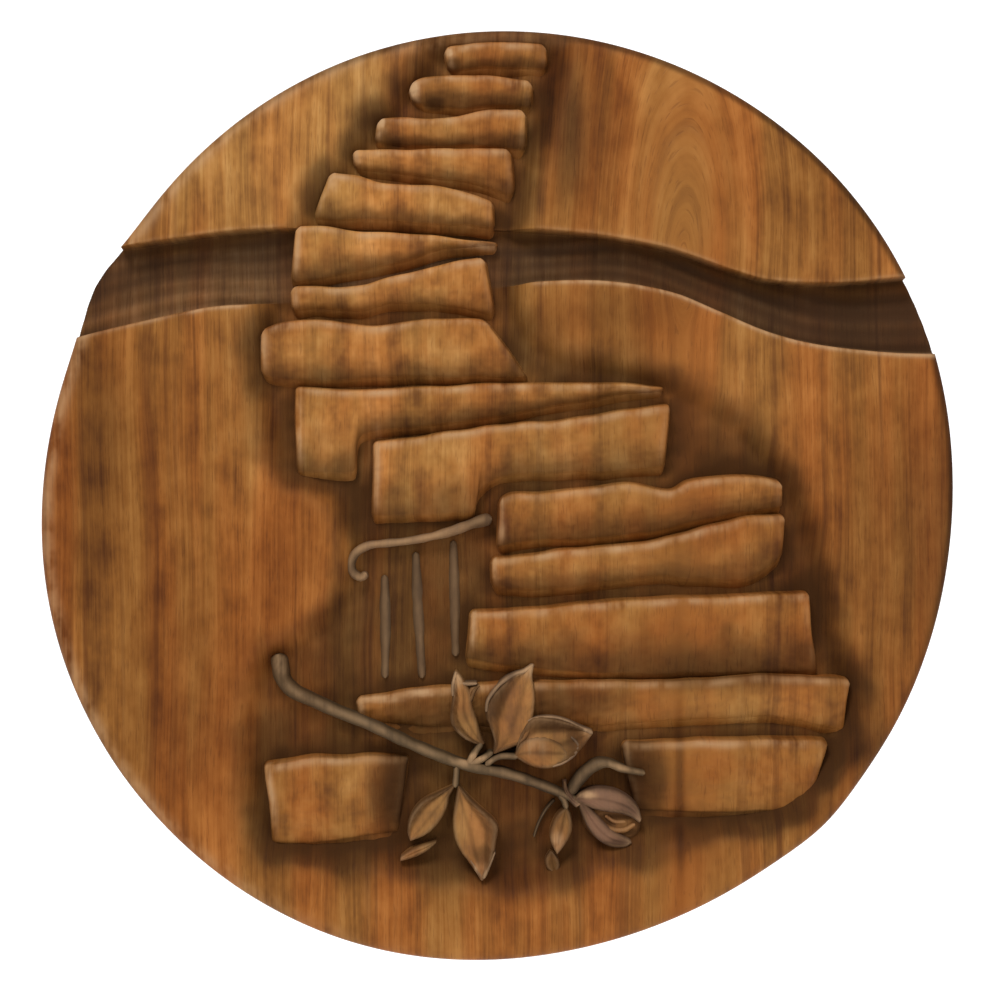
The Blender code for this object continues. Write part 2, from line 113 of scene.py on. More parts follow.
# Each plank: its cross sections from left to right, as the head's x and y and the foot's x and y,
# then how far its left and right ends lie below the uncarved face, in metres
PLANKS = (
    (
        (
            (-11.6, 97.5, -10.6, 92.6), (-8, 98.3, -7, 93.0), (-3, 98.8, -3, 93.3),
            (4, 98.7, 4, 93.1), (10.6, 98.4, 10.6, 92.8),
        ),
        0.0026, 0.0026,
    ),
    (
        (
            (-19.3, 88.9, -18.4, 85.6), (-17, 90.6, -14.5, 84.9), (-13, 91.5, -9, 84.4),
            (-6, 91.7, -3, 84.6), (0, 91.3, 2, 84.9), (7.6, 90.2, 7.2, 84.8),
        ),
        0.0022, 0.0024,
    ),
    (
        (
            (-26, 82.3, -26.8, 76.8), (-19, 82.4, -19, 76.1), (-12, 82.2, -12, 76.1),
            (-5, 83.3, -5, 76.3), (1, 84.1, 1, 75.9), (6.2, 84, 6.2, 75.3),
        ),
        0.0018, 0.0022,
    ),
    (
        (
            (-31.4, 75.3, -31, 71.6), (-26, 75.5, -25, 70.6), (-18, 75.3, -17, 69.6),
            (-10, 75.6, -9, 68.6), (-3, 75.7, -2, 67.1), (2.8, 75.6, 3.6, 65.1),
        ),
        0.0016, 0.0020,
    ),
    (
        (
            (-36.3, 70.4, -40, 60.6), (-31, 69.8, -34, 60.2), (-25, 68.3, -27, 60),
            (-15, 67.5, -17, 59.6), (-8, 66.6, -9, 59), (-0.8, 64.3, -0.6, 58.4),
        ),
        0.0014, 0.0020,
    ),
    (
        (
            (-43.5, 58.8, -44.8, 46.5), (-38, 58.8, -39, 47.4), (-32, 57.8, -32, 48.6),
            (-22, 57.2, -21, 51), (-11, 56.4, -10, 54), (-0.5, 55.1, -0.5, 54.7),
        ),
        0.0010, 0.0022,
    ),
    (
        (
            (-45, 45.7, -44.8, 40.4), (-36, 45.7, -36, 40.8), (-29.5, 45.9, -29, 40.4),
            (-24, 47.6, -22, 41.9), (-14, 49.8, -12, 41.8), (-2.7, 52.4, -0.8, 39.4),
        ),
        0.0010, 0.0014,
    ),
    (
        (
            (-51.2, 36.4, -51.2, 26.5), (-46.5, 37.8, -45.5, 25.5), (-38, 38.5, -36, 25.3),
            (-28, 36.9, -26, 25.9), (-20, 38.1, -16, 26), (-10, 38.8, -4, 26), (-2.6, 38.3, 6.8, 25.9),
        ),
        0.0006, 0.0012,
    ),
    (
        (
            (-43.8, 23.9, -43.6, 5.2), (-38, 23.5, -38, 5.1), (-33, 23.3, -32.6, 5.1),
            (-31, 23.2, -30.8, 6.2), (-29.4, 23.2, -30.0, 12.0), (-27.4, 23.3, -27.8, 14.0),
            (-18, 23.9, -18, 15.1),
            (-5, 24.4, -5, 16.5), (10, 24.7, 10, 19.2), (24, 24.6, 24, 21.5), (36, 24.0, 36, 23.3),
        ),
        0.0006, 0.0022,
    ),
    (
        (
            (-26.6, 11.9, -27, -4.4), (-20, 12.6, -20, -4), (-10, 14.1, -10, -3.7),
            (-3.5, 15.2, -5.2, -3.2), (-1, 15.5, -3.6, 1.2), (4, 16, 2, 4.7), (14, 16.8, 14, 5.1),
            (26, 18.6, 26, 5.6), (37.3, 20.1, 36.4, 6.3),
        ),
        0.0005, 0.0008,
    ),
    (
        (
            (0.4, -0.6, 0.2, -11.4), (3.4, 0.9, 5, -9.9), (10, 0.9, 12, -9.5), (20, 2.2, 20, -9.4),
            (28, 2.9, 28, -8.5), (37, 1.6, 37, -7.1), (42, 3.6, 44, -5.3), (52, 4.7, 53, -3.6),
            (61.6, 3.6, 62, -2.4),
        ),
        0.0005, 0.0008,
    ),
    (
        (
            (-1.1, -13.2, -1.2, -19.4), (5, -12.7, 6, -20.3), (13, -11.5, 14, -19.8),
            (24, -10.6, 24, -18.7), (35, -9.2, 34, -17.6), (45, -6.5, 44, -17.9),
            (54, -4.3, 54, -17.9), (62.4, -3.9, 62, -13),
        ),
        0.0005, 0.0008,
    ),
    (
        (
            (-5.6, -24.9, -6.7, -35.5), (4, -24.4, 4, -36.8), (15, -23.5, 15, -38.1),
            (28, -22.1, 28, -38.4), (45, -21.6, 45, -38.3), (67.5, -20.7, 69.4, -38),
        ),
        0.0005, 0.0006,
    ),
    (
        (
            (-30.5, -43.6, -30, -49), (-20, -42.1, -20, -49.6), (-10, -41, -10, -50),
            (3, -40.2, 5, -50), (18, -39.8, 22, -49.6), (36, -39.7, 36, -48.7),
            (48, -39.2, 48, -48.1), (58, -38.4, 60, -47.9), (76.4, -39.3, 75.2, -50.6),
        ),
        0.0052, 0.0005,
    ),
    (
        (
            (-50.3, -57.9, -49, -75), (-45, -57, -43.4, -75.4), (-38, -56.4, -36.5, -74.9),
            (-28, -56.1, -29, -73.7), (-19.5, -56, -21.5, -72.8),
        ),
        0.0005, 0.0050,
    ),
    (
        (
            (27, -53.3, 30, -68.2), (38, -52.9, 39, -68.5), (50, -52.5, 50, -68.6),
            (60, -52.5, 59, -68.4), (71.6, -52.5, 68.2, -67.2),
        ),
        0.0042, 0.0005,
    ),
)

# How round each plank's four corners are, as a share of the round of its edges
CORNERS = (1, 1, 1, 1, 0.7, 0.8, 0.9, 0.9, 0.45, 0.45, 0.8, 0.7, 0.5, 0.7, 0.5, 0.7)

# The rose's stem from its cut end to the flower, the long sepal, and the curled rail
STEM = (
    (-47.6, -34.0), (-47.2, -36.6), (-46.6, -39.4), (-44.4, -42), (-40.5, -43.9), (-35, -46.4),
    (-28, -49.2), (-20, -53), (-13, -56), (-6, -58.4), (2, -60), (10, -62.7), (17.5, -65.8),
)
SEPAL = (
    (15.8, -64.6), (17, -62.4), (19, -59.9), (21.6, -58), (24.2, -57.7), (27.2, -58.9), (32, -59.8),
)
TENDRIL = ((12.4, -65.8), (10.6, -68), (9, -71), (8, -74))
STALKS = (
    ((-6.6, -58.2), (-3.6, -56.9), (-1, -55.2)),
    ((-2.5, -58.0), (0.4, -56.2), (4.4, -56.2)),
    ((-8.8, -58.4), (-8.9, -60.4), (-9.1, -62.8)),
    ((-6.2, -58), (-5, -55.6), (-3.4, -53.2)),
    ((13.4, -64.4), (14.4, -65.6), (15, -67.4)),
)
RAIL = (
    (-28.4, -16.4), (-29.6, -17.4), (-31.3, -16.4), (-31.8, -14.2), (-30.6, -11.9), (-28, -10.5),
    (-25, -10.1), (-20, -9.6), (-15, -8.7), (-10, -7.4), (-5, -5.6), (-1.2, -4.6),
)
RIBS = (
    ((-24.6, -17), (-24.4, -28), (-24.5, -39.4)),
    ((-17.8, -12), (-17.2, -26), (-16.4, -39.4)),
    ((-9.6, -9.5), (-9.3, -22), (-9.1, -34.6)),
)


def metres(name, description, default):
    """A property that holds a length."""
    return FloatProperty(
        name=name, description=description, default=default, unit="LENGTH", precision=4
    )


def paint(name, description, default, most=1.0):
    """A property that holds a colour, or what a glaze multiplies a colour by."""
    return FloatVectorProperty(
        name=name, description=description, subtype="COLOR", size=3, default=default, min=0, max=most
    )


class PlaqueSizes(PropertyGroup):
    """The sizes of the carving that a user would change."""

    radius: metres("Panel radius", "Mean radius of the round board", 0.2)
    rim_round: metres("Rim rounding", "Radius worn on the rim's front edge", 0.0045)
    back_chamfer: metres("Back chamfer", "Width cut off the rim's back edge", 0.0015)
    river_far: metres("River depth, far", "Depth of the bed under the upper bank", 0.013)
    river_near: metres("River depth, near", "Depth of the bed by the lower bank", 0.009)
    hollow_depth: metres("Hollow depth", "Depth of the ground round the walk", 0.010)
    hollow_slope: metres("Hollow slope", "Width over which the ground falls away", 0.016)
    plank_round: metres("Plank rounding", "Width of a plank's rounded edge", 0.0032)
    plank_drop: metres("Plank edge drop", "How far a plank's edge rounds down", 0.0018)
    plank_skirt: metres("Plank skirt", "Width of the slope below a plank's foot", 0.0034)
    plank_dip: metres("Plank dip", "How far a plank's foot lies below its head", 0.0048)
    plank_flare: metres("Plank flare", "How far a plank's sides lean out", 0.0015)
    plank_crown: metres("Plank crown", "How far a plank's middle stands proud", 0.0006)
    stem_width: metres("Stem width", "Width of the rose's stem", 0.0045)
    rail_width: metres("Rail width", "Width of the curled rail", 0.0039)
    rib_width: metres("Rib width", "Width of the upright ribs", 0.0045)
    keyhole_below_top: metres("Keyhole below top", "From the mean radius to the hole", 0.070)
    keyhole_head: metres("Keyhole hole", "Width of the hole for the screw's head", 0.0105)
    keyhole_neck: metres("Keyhole neck", "Width of the slot for the screw's shank", 0.0056)
    keyhole_travel: metres("Keyhole travel", "From the hole to the seat above it", 0.014)
    keyhole_lip: metres("Keyhole lip", "Wood left in front of the screw's head", 0.003)
    keyhole_depth: metres("Keyhole depth", "From the back to the slot's bottom", 0.009)
    fine_step: metres("Fine step", "Length of a cell on the planks and the sprig", 0.0009)
    board_cells: IntProperty(
        name="Board cells", description="Cells across the board's face", default=270, min=60, max=400
    )


class PlaqueFinish(PropertyGroup):
    """The colours of the finish."""

    light_wood: paint("Light wood", "Pale stripes of the grain", (0.44, 0.185, 0.045))
    middle_wood: paint("Middle wood", "Most of the grain", (0.30, 0.108, 0.020))
    dark_wood: paint("Dark wood", "Dark stripes of the grain", (0.125, 0.038, 0.007))
    # The glaze colour is also painted shade: on the planks' feet, in the river under the upper bank and
    # along the rim's upper right.
    glaze: paint("Glaze", "Dark glaze in the hollows", (0.046, 0.0175, 0.0045))
    silt: paint("River glaze", "What the river's greyer glaze does", (0.94, 1.10, 1.85), 2.0)
    stain: paint("Stain", "Share of the colour left under thin glaze", (0.36, 0.355, 0.35))
    wash: paint("Wash", "Grey-brown wash on the sprig and the rail", (0.235, 0.142, 0.075))
    # The worn colour is also painted as highlights: on the planks' heads and left ends, the lower bank's
    # edge, the left of the rim and the upper side of the stem, rail and ribs.
    worn: paint("Worn edge", "Stain rubbed off the raised edges", (0.48, 0.285, 0.142))


class StageLook(PropertyGroup):
    """The backdrop, the lights and the camera."""

    backdrop: paint("Backdrop", "Colour of the wall and the floor behind", (0.92, 0.92, 0.92))
    camera_distance: metres("Camera distance", "From the camera to the carved face", 1.0)
    view_width: metres("View width", "Width seen at the carved face", 0.4296)
    key_power: FloatProperty(
        name="Key light", description="Power of the large light above and to the left",
        default=31.0, unit="POWER",
    )
    sky: FloatProperty(
        name="Sky", description="Strength of the even light from all round", default=0.45
    )


# Shares at which a grid's rows lie: of a rounded edge's width, and of a plank's skirt
EDGE_SHARES = np.array([0, 0.06, 0.17, 0.34, 0.6, 1.0])
SKIRT_SHARES = np.array([1.0, 0.75, 0.5, 0.25, 0.1])
# The most of a strip that one rounded edge takes, and the steps from one knot of a line to the next
MOST_ROUNDING = 0.30
SPLINE_STEPS = 12
# Walls: the shares of their height where their rings lie, their glaze there, how deep they are
# rooted, and how far those of the sprig lean out
WALL_SHARES = (0.35, 0.70, 1.0)
WALL_GLAZE = (0.30, 0.34, 0.34)
ROOT = 0.0160
SPRIG_FLARE = 0.0003
# How far below the face the highest carving stays
SKIN = 0.0001
# Faces that meet at more than this angle keep a sharp edge
SHARP_ANGLE = math.radians(50)
# How many sines make up the handmade unevenness, and the turn from one to the next
WAVES = 7
GOLDEN_ANGLE = math.pi * (3 - math.sqrt(5))


def smoothstep(low, high, value):
    """0 below low, 1 above high, and 3t^2 - 2t^3 of the share t of the way between them."""
    t = np.clip((value - low) / (high - low), 0, 1)
    return t * t * (3 - 2 * t)


def bump(value, centre, width):
    """A bell: e to the minus square of the distance from the centre in widths."""
    return np.exp(-(((value - centre) / width) ** 2))


def quarter_oval(distance, reach, drop):
    """How far an edge has dropped: a quarter of an oval, full at the edge and none at its reach."""
    share = np.clip(distance / reach, 0, 1)
    return drop * (1 - np.sqrt(1 - (1 - share) ** 2))


def unevenness(x, y, size, seed):
    """Slow handmade waviness: the mean of sines of nearly one length, a golden angle apart."""
    total = 0.0
    for i in range(WAVES):
        turn = (i + seed) * GOLDEN_ANGLE
        length = size * (1 + 0.35 * math.sin(2.3 * i + seed))
        phase = (x * math.cos(turn) + y * math.sin(turn)) * math.tau / length
        total = total + np.sin(phase + 1.7 * i * seed + i)
    return total * 2 / WAVES


def spline(points, shares):
    """A smooth line at shares of its length: Catmull and Rom's cubic on each span of the points."""
    knots = np.array(points, float)
    ends = np.vstack([2 * knots[0] - knots[1], knots, 2 * knots[-1] - knots[-2]])
    before, start, end, after = ends[:-3], ends[1:-2], ends[2:-1], ends[3:]
    t = np.linspace(0, 1, SPLINE_STEPS, endpoint=False)[None, :, None]
    before, start, end, after = (p[:, None, :] for p in (before, start, end, after))
    dense = 0.5 * (
        2 * start
        + (end - before) * t
        + (2 * before - 5 * start + 4 * end - after) * t**2
        + (3 * start - before - 3 * end + after) * t**3
    )
    dense = np.vstack([dense.reshape(-1, knots.shape[1]), knots[-1:]])
    length = np.append(0, np.cumsum(np.linalg.norm(np.diff(dense, axis=0), axis=1)))
    return np.stack([np.interp(np.asarray(shares) * length[-1], length, d) for d in dense.T], axis=-1)


def length_of(line):
    """The sum of the distances from each point to the next."""
    return float(np.linalg.norm(np.diff(line, axis=0), axis=1).sum())


def distance_to(x, y, line):
    """The distance from each place to a line of points: the least of those to its segments."""
    a, b = line[:-1], line[1:]
    d = b - a
    px, py = x[..., None] - a[:, 0], y[..., None] - a[:, 1]
    t = np.clip((px * d[:, 0] + py * d[:, 1]) / np.maximum((d**2).sum(1), 1e-12), 0, 1)
    return np.sqrt((px - t * d[:, 0]) ** 2 + (py - t * d[:, 1]) ** 2).min(-1)


def inside(x, y, outline):
    """Whether each place is inside an outline: a ray to the right crosses it an odd number of times."""
    a, b = outline, np.roll(outline, -1, axis=0)
    crosses = (a[:, 1] > y[..., None]) != (b[:, 1] > y[..., None])
    rise = np.where(b[:, 1] == a[:, 1], 1e-12, b[:, 1] - a[:, 1])
    at = a[:, 0] + (y[..., None] - a[:, 1]) * (b[:, 0] - a[:, 0]) / rise
    return (crosses & (x[..., None] < at)).sum(-1) % 2 == 1


def strip_shares(width, edge, inner):
    """Shares across strips of these widths: close together over both rounded edges, then even."""
    width = np.atleast_1d(width)
    edge = (np.minimum(edge, width * MOST_ROUNDING) / width)[:, None]
    near = edge * EDGE_SHARES
    middle = edge + (1 - 2 * edge) * np.linspace(0, 1, inner + 1)[None, 1:-1]
    return np.concatenate([near, middle, 1 - near[:, ::-1]], axis=1)


def border(grid):
    """What lies round the edge of a grid, starting along its first row."""
    return np.concatenate([grid[0, :-1], grid[:-1, -1], grid[-1, :0:-1], grid[:0:-1, 0]])


def put(name, data):
    """A new object in the scene."""
    thing = bpy.data.objects.new(name, data)
    bpy.context.scene.collection.objects.link(thing)
    return thing


class Shell:
    """A closed mesh in the making: points with glaze and painted shade, wear and painted highlight,
    four-sided faces and flat caps.
    """

    def __init__(self):
        self.points, self.glaze, self.wear, self.quads, self.caps = [], [], [], [], []
        self.count = 0

    def add(self, x, y, depth, glaze, wear):
        """Adds points and gives back the number of each, in the shape of the arrays."""
        shape = np.shape(x)
        self.points.append(np.stack([x, FACE + depth, y], axis=-1).reshape(-1, 3))
        self.glaze.append(np.broadcast_to(glaze, shape).ravel())
        self.wear.append(np.broadcast_to(wear, shape).ravel())
        numbers = np.arange(self.count, self.count + np.size(x)).reshape(shape)
        self.count += np.size(x)
        return numbers

    def join(self, low, high):
        """Four-sided faces between two rows or two stacks of rows of numbered points."""
        corners = [low[..., :-1], low[..., 1:], high[..., 1:], high[..., :-1]]
        self.quads.append(np.stack(corners, -1).reshape(-1, 4))

    def ring(self, outer, inner):
        """Faces from one closed ring of numbered points to the next."""
        self.join(np.append(inner, inner[0]), np.append(outer, outer[0]))

    def walled(self, surface, root, flare, shades):
        """A grid of points seen from the front, with walls round it that run back to the root.

        Rows of the arrays go up and columns to the right. The walls lean out by the flare, and the
        shades are their glaze, from the top down. The walls' last ring is given back, as the
        numbers of its points and as x and y without the flare.
        """
        x, y, depth = surface[:3]
        top = self.add(*surface)
        self.join(top[:-1], top[1:])
        above, rim_x, rim_y, rim_depth = (border(part) for part in (top, x, y, depth))
        along_x = np.roll(rim_x, -1) - np.roll(rim_x, 1)
        along_y = np.roll(rim_y, -1) - np.roll(rim_y, 1)
        size = np.maximum(np.hypot(along_x, along_y), 1e-9)
        for share, shade in zip(WALL_SHARES, shades):
            out = flare * share / size
            wall_depth = rim_depth + (root - rim_depth) * share
            below = self.add(rim_x + along_y * out, rim_y - along_x * out, wall_depth, shade, 0.0)
            self.ring(above, below)
            above = below
        return above, rim_x, rim_y

    def relief(self, surface, flare, shades=WALL_GLAZE):
        """A walled grid that is rooted in the board and closed there."""
        self.caps.append(self.walled(surface, ROOT, flare, shades)[0][::-1])

    def finish(self, name, materials, **layers):
        """The mesh as an object that rides on the panel's body and stands for its solid.

        Its points get their glaze with painted shade, their wear with painted highlight, the tone of
        the stain and of painted shade and light, and the value of each further layer, which is a
        function of x and y.
        """
        points = np.concatenate(self.points).astype(np.float32)
        quads = np.concatenate(self.quads).astype(np.int32)
        totals = np.array([4] * len(quads) + [len(cap) for cap in self.caps], np.int32)
        corners = np.concatenate([quads.ravel(), *self.caps]).astype(np.int32)
        mesh = bpy.data.meshes.new(name)
        mesh.vertices.add(self.count)
        mesh.vertices.foreach_set("co", points.ravel())
        mesh.loops.add(len(corners))
        mesh.loops.foreach_set("vertex_index", corners)
        mesh.polygons.add(len(totals))
        mesh.polygons.foreach_set("loop_start", (np.cumsum(totals) - totals).astype(np.int32))
        mesh.polygons.foreach_set("loop_total", totals)
        mesh.update(calc_edges=True)
        if mesh.validate():
            raise RuntimeError(f"{name} had faulty faces")
        x, y = points[:, 0], points[:, 2]
        unit = bpy.context.scene.plaque_sizes.radius / 100
        values = {"glaze": np.concatenate(self.glaze), "wear": np.concatenate(self.wear)}
        values["tone"] = spots(x, y, TONES, unit)
        for title, value_at in layers.items():
            values[title] = value_at(x, y)
        for title, value in values.items():
            layer = mesh.attributes.new(title, "FLOAT", "POINT")
            layer.data.foreach_set("value", value.astype(np.float32))
        mesh.polygons.foreach_set("use_smooth", np.ones(len(totals), bool))
        mesh.set_sharp_from_angle(angle=SHARP_ANGLE)
        for material in materials:
            mesh.materials.append(material)
        piece = put(name, mesh)
        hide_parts(NODE)
        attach(piece, BODY)
        return piece


# How each plank darkens towards its foot, by stain and by painted shade where its face turns down
# away from the light: the shares of the way from head to foot where the shade starts and is full,
# its strength, and the glaze and painted shade on the skirt below
FOOT_SHADES = (
    (0.30, 0.88, 0.56, 0.30), (0.20, 0.82, 0.58, 0.30), (0.32, 0.90, 0.58, 0.20),
    (0.30, 1.00, 0.44, 0.34), (0.42, 0.98, 0.50, 0.34), (0.30, 0.98, 0.50, 0.36),
    (0.45, 1.00, 0.36, 0.30), (0.42, 1.00, 0.46, 0.30), (0.28, 0.95, 0.50, 0.32),
    (0.20, 1.00, 0.42, 0.30), (0.18, 1.00, 0.46, 0.20), (0.22, 1.00, 0.42, 0.32),
    (0.22, 0.90, 0.54, 0.24), (0.55, 1.00, 0.20, 0.18), (0.80, 1.00, 0.25, 0.42),
    (0.76, 1.00, 0.20, 0.50),
)

# Soft spots of glaze and painted shade on top of the planks, such as under the knobs of the top
# planks and along a long plank's foot: centre, half width, half height, strength
SHADES = (
    (2, -59, 27, 16, 0.56), (-16, -46, 14, 6, 0.38), (14, -44, 18, 4.5, 0.48),
    (30, -62, 8, 12, 0.86), (-20.5, -65, 8, 12, 0.85), (50, -38, 32, 5, 0.45), (-1, 0, 5, 5, 0.28),
    (-9.4, 93.8, 2.2, 2.0, 0.60), (-13.5, 85.8, 3.0, 1.8, 0.80), (-22.6, 77.2, 3.2, 1.6, 0.60),
    (66, -8, 8, 5, 0.20),
)

# Knobs and corners of the planks where the stain is rubbed off: centre, half width, half height,
# strength
RUBBED = (
    (-10.4, 96.4, 1.7, 1.6, 1.5), (-18.2, 88.6, 1.6, 2.2, 1.4), (-25, 81.2, 1.6, 2.2, 1.5),
    (-31, 74, 1.4, 2, 0.9), (-35.6, 69.4, 1.6, 3.5, 0.5), (-50.4, 33, 1.4, 5, 0.5),
    (-26, 8, 1.2, 7, 0.4), (-25.5, -43.8, 5, 1.0, 0.9), (-15.5, -42.4, 5, 1.0, 0.9),
)

# Soft spots of glaze on the ground: centre, half width, half height, strength
GROUND_SHADES = (
    (-42, -50, 12, 9, -0.08), (-47, -51, 7, 5, 0.24), (-52.5, -60, 4, 12, -0.14),
    (-22, -78, 30, 7, 0.28), (-34, -80, 10, 4, 0.14), (8, -76, 26, 12, 0.28),
    (24, -77, 12, 6, 0.14), (34, -80, 8, 5, 0.24), (73, -60, 5, 9, 0.42), (50, -71, 22, 5, 0.25),
    (-14, -26, 14, 16, 0.20), (10, 84, 3, 10, 0.20), (2, 60.5, 6, 3, 0.42), (-34, -30, 7, 14, 0.18),
    (52, 8, 14, 8, 0.20), (68, -20, 5, 14, 0.26), (-31, -1, 3, 9, 0.40), (76, -57, 5, 10, 0.42),
    (-30, 83, 6, 7, 0.32), (-40, 67, 5, 8, 0.14),
)

# Where the colour is darker or lighter over a wide area, in the stain and as painted shade and
# light, such as darker along the rim's right side: centre, half width, half height, change
TONES = (
    (-80, 0, 26, 50, -0.26), (-64, -48, 28, 34, -0.28), (-44, -12, 10, 18, -0.28),
    (-84, 22, 6, 26, -0.18), (-86, -38, 8, 24, 0.12), (86, -10, 26, 46, -0.34),
    (-50, 84, 44, 26, 0.34), (22, 80, 9, 24, -0.44), (14.5, 78, 5, 26, -0.46),
    (10.2, 86, 2.6, 10, -0.34), (-91, 5, 7, 18, 0.14), (-50, -26, 8, 18, -0.10),
    (50, 70, 5, 22, -0.08), (72, 66, 20, 20, -0.24), (-92, 4, 8, 60, -0.16),
    (-66, -54, 12, 14, -0.14), (-90, 2, 9, 20, -0.12), (95, 0, 8, 50, -0.18),
    (84, -58, 8, 11, -0.40), (5, -92, 50, 12, -0.10), (-40, -80, 16, 7, -0.26),
    (5, -84, 30, 6, -0.14), (45, -77, 20, 6, -0.18), (70, -66, 11, 9, -0.34),
    (79, -46, 7, 14, -0.22), (-24, 57, 26, 18, 0.40), (-22, 31, 32, 8, 0.26),
    (-34, 13, 14, 11, 0.34), (6, 6, 30, 10, 0.14), (-39, 9, 6, 5, 0.30), (-18, 4, 10, 10, 0.20),
    (60, -45, 20, 6, 0.20), (-26, -46, 6, 4, 0.18), (5, 92, 6, 8, 0.18), (30, -30, 36, 7, -0.12),
    (48, -59, 20, 7, -0.12), (-50, -50, 8, 12, 0.14), (39.6, -64, 1.3, 26, -0.48),
    (26, 40, 20, 9, -0.42), (30, -6, 36, 8, -0.16),
)


def spots(x, y, table, unit):
    """The sum of soft oval spots: each is its strength times a bell of the distance in half sizes."""
    total = 0.0
    for centre_x, centre_y, half_width, half_height, strength in table:
        across = (x / unit - centre_x) / half_width
        up = (y / unit - centre_y) / half_height
        total = total + strength * np.exp(-1.4 * (across**2 + up**2) ** 1.5)
    return total


def plank_outline(sections):
    """A plank's outline in hundredths: along its heads, and back along its feet."""
    line = spline(sections, np.linspace(0, 1, 30))
    return np.vstack([line[:, :2], line[::-1, 2:], line[:1, :2]])


def rim_radius(angle, radius):
    """The sawn rim: the mean radius times one plus a few slow waves and two bulges."""
    waves = sum(size * np.cos(n * (angle - peak)) for size, n, peak in RIM_WAVES)
    bulges = 0.0
    for size, place, width in RIM_BULGES:
        away = np.mod(angle - place + math.pi, math.tau) - math.pi
        bulges = bulges + size * bump(away, 0.0, width)
    return radius * (1 + waves + bulges) - RIM_SANDED


def share_up(low, high):
    """The share of the way up from the river's lower bank to its upper one."""
    return np.clip(low / np.maximum(low + high, 1e-6), 0, 1)


# The ripples of the river's bed: their height, length and sway, in metres
RIPPLE_HEIGHT = 0.00032
RIPPLE_LENGTH = 0.0011
RIPPLE_SWAY = 0.003
# The banks' edges, in metres: the width worn off the lower and the upper one, how far both drop, and
# the width of the walls below them
LOW_BANK_WORN = 0.0018
HIGH_BANK_WORN = 0.0009
BANK_DROP = 0.0008
BANK_WALL = 0.0007
# Handmade waves, as their height and size in metres: on the whole face, and on the hollow's floor
FACE_WAVES = (0.00012, 0.05)
FLOOR_WAVES = (0.0003, 0.016)


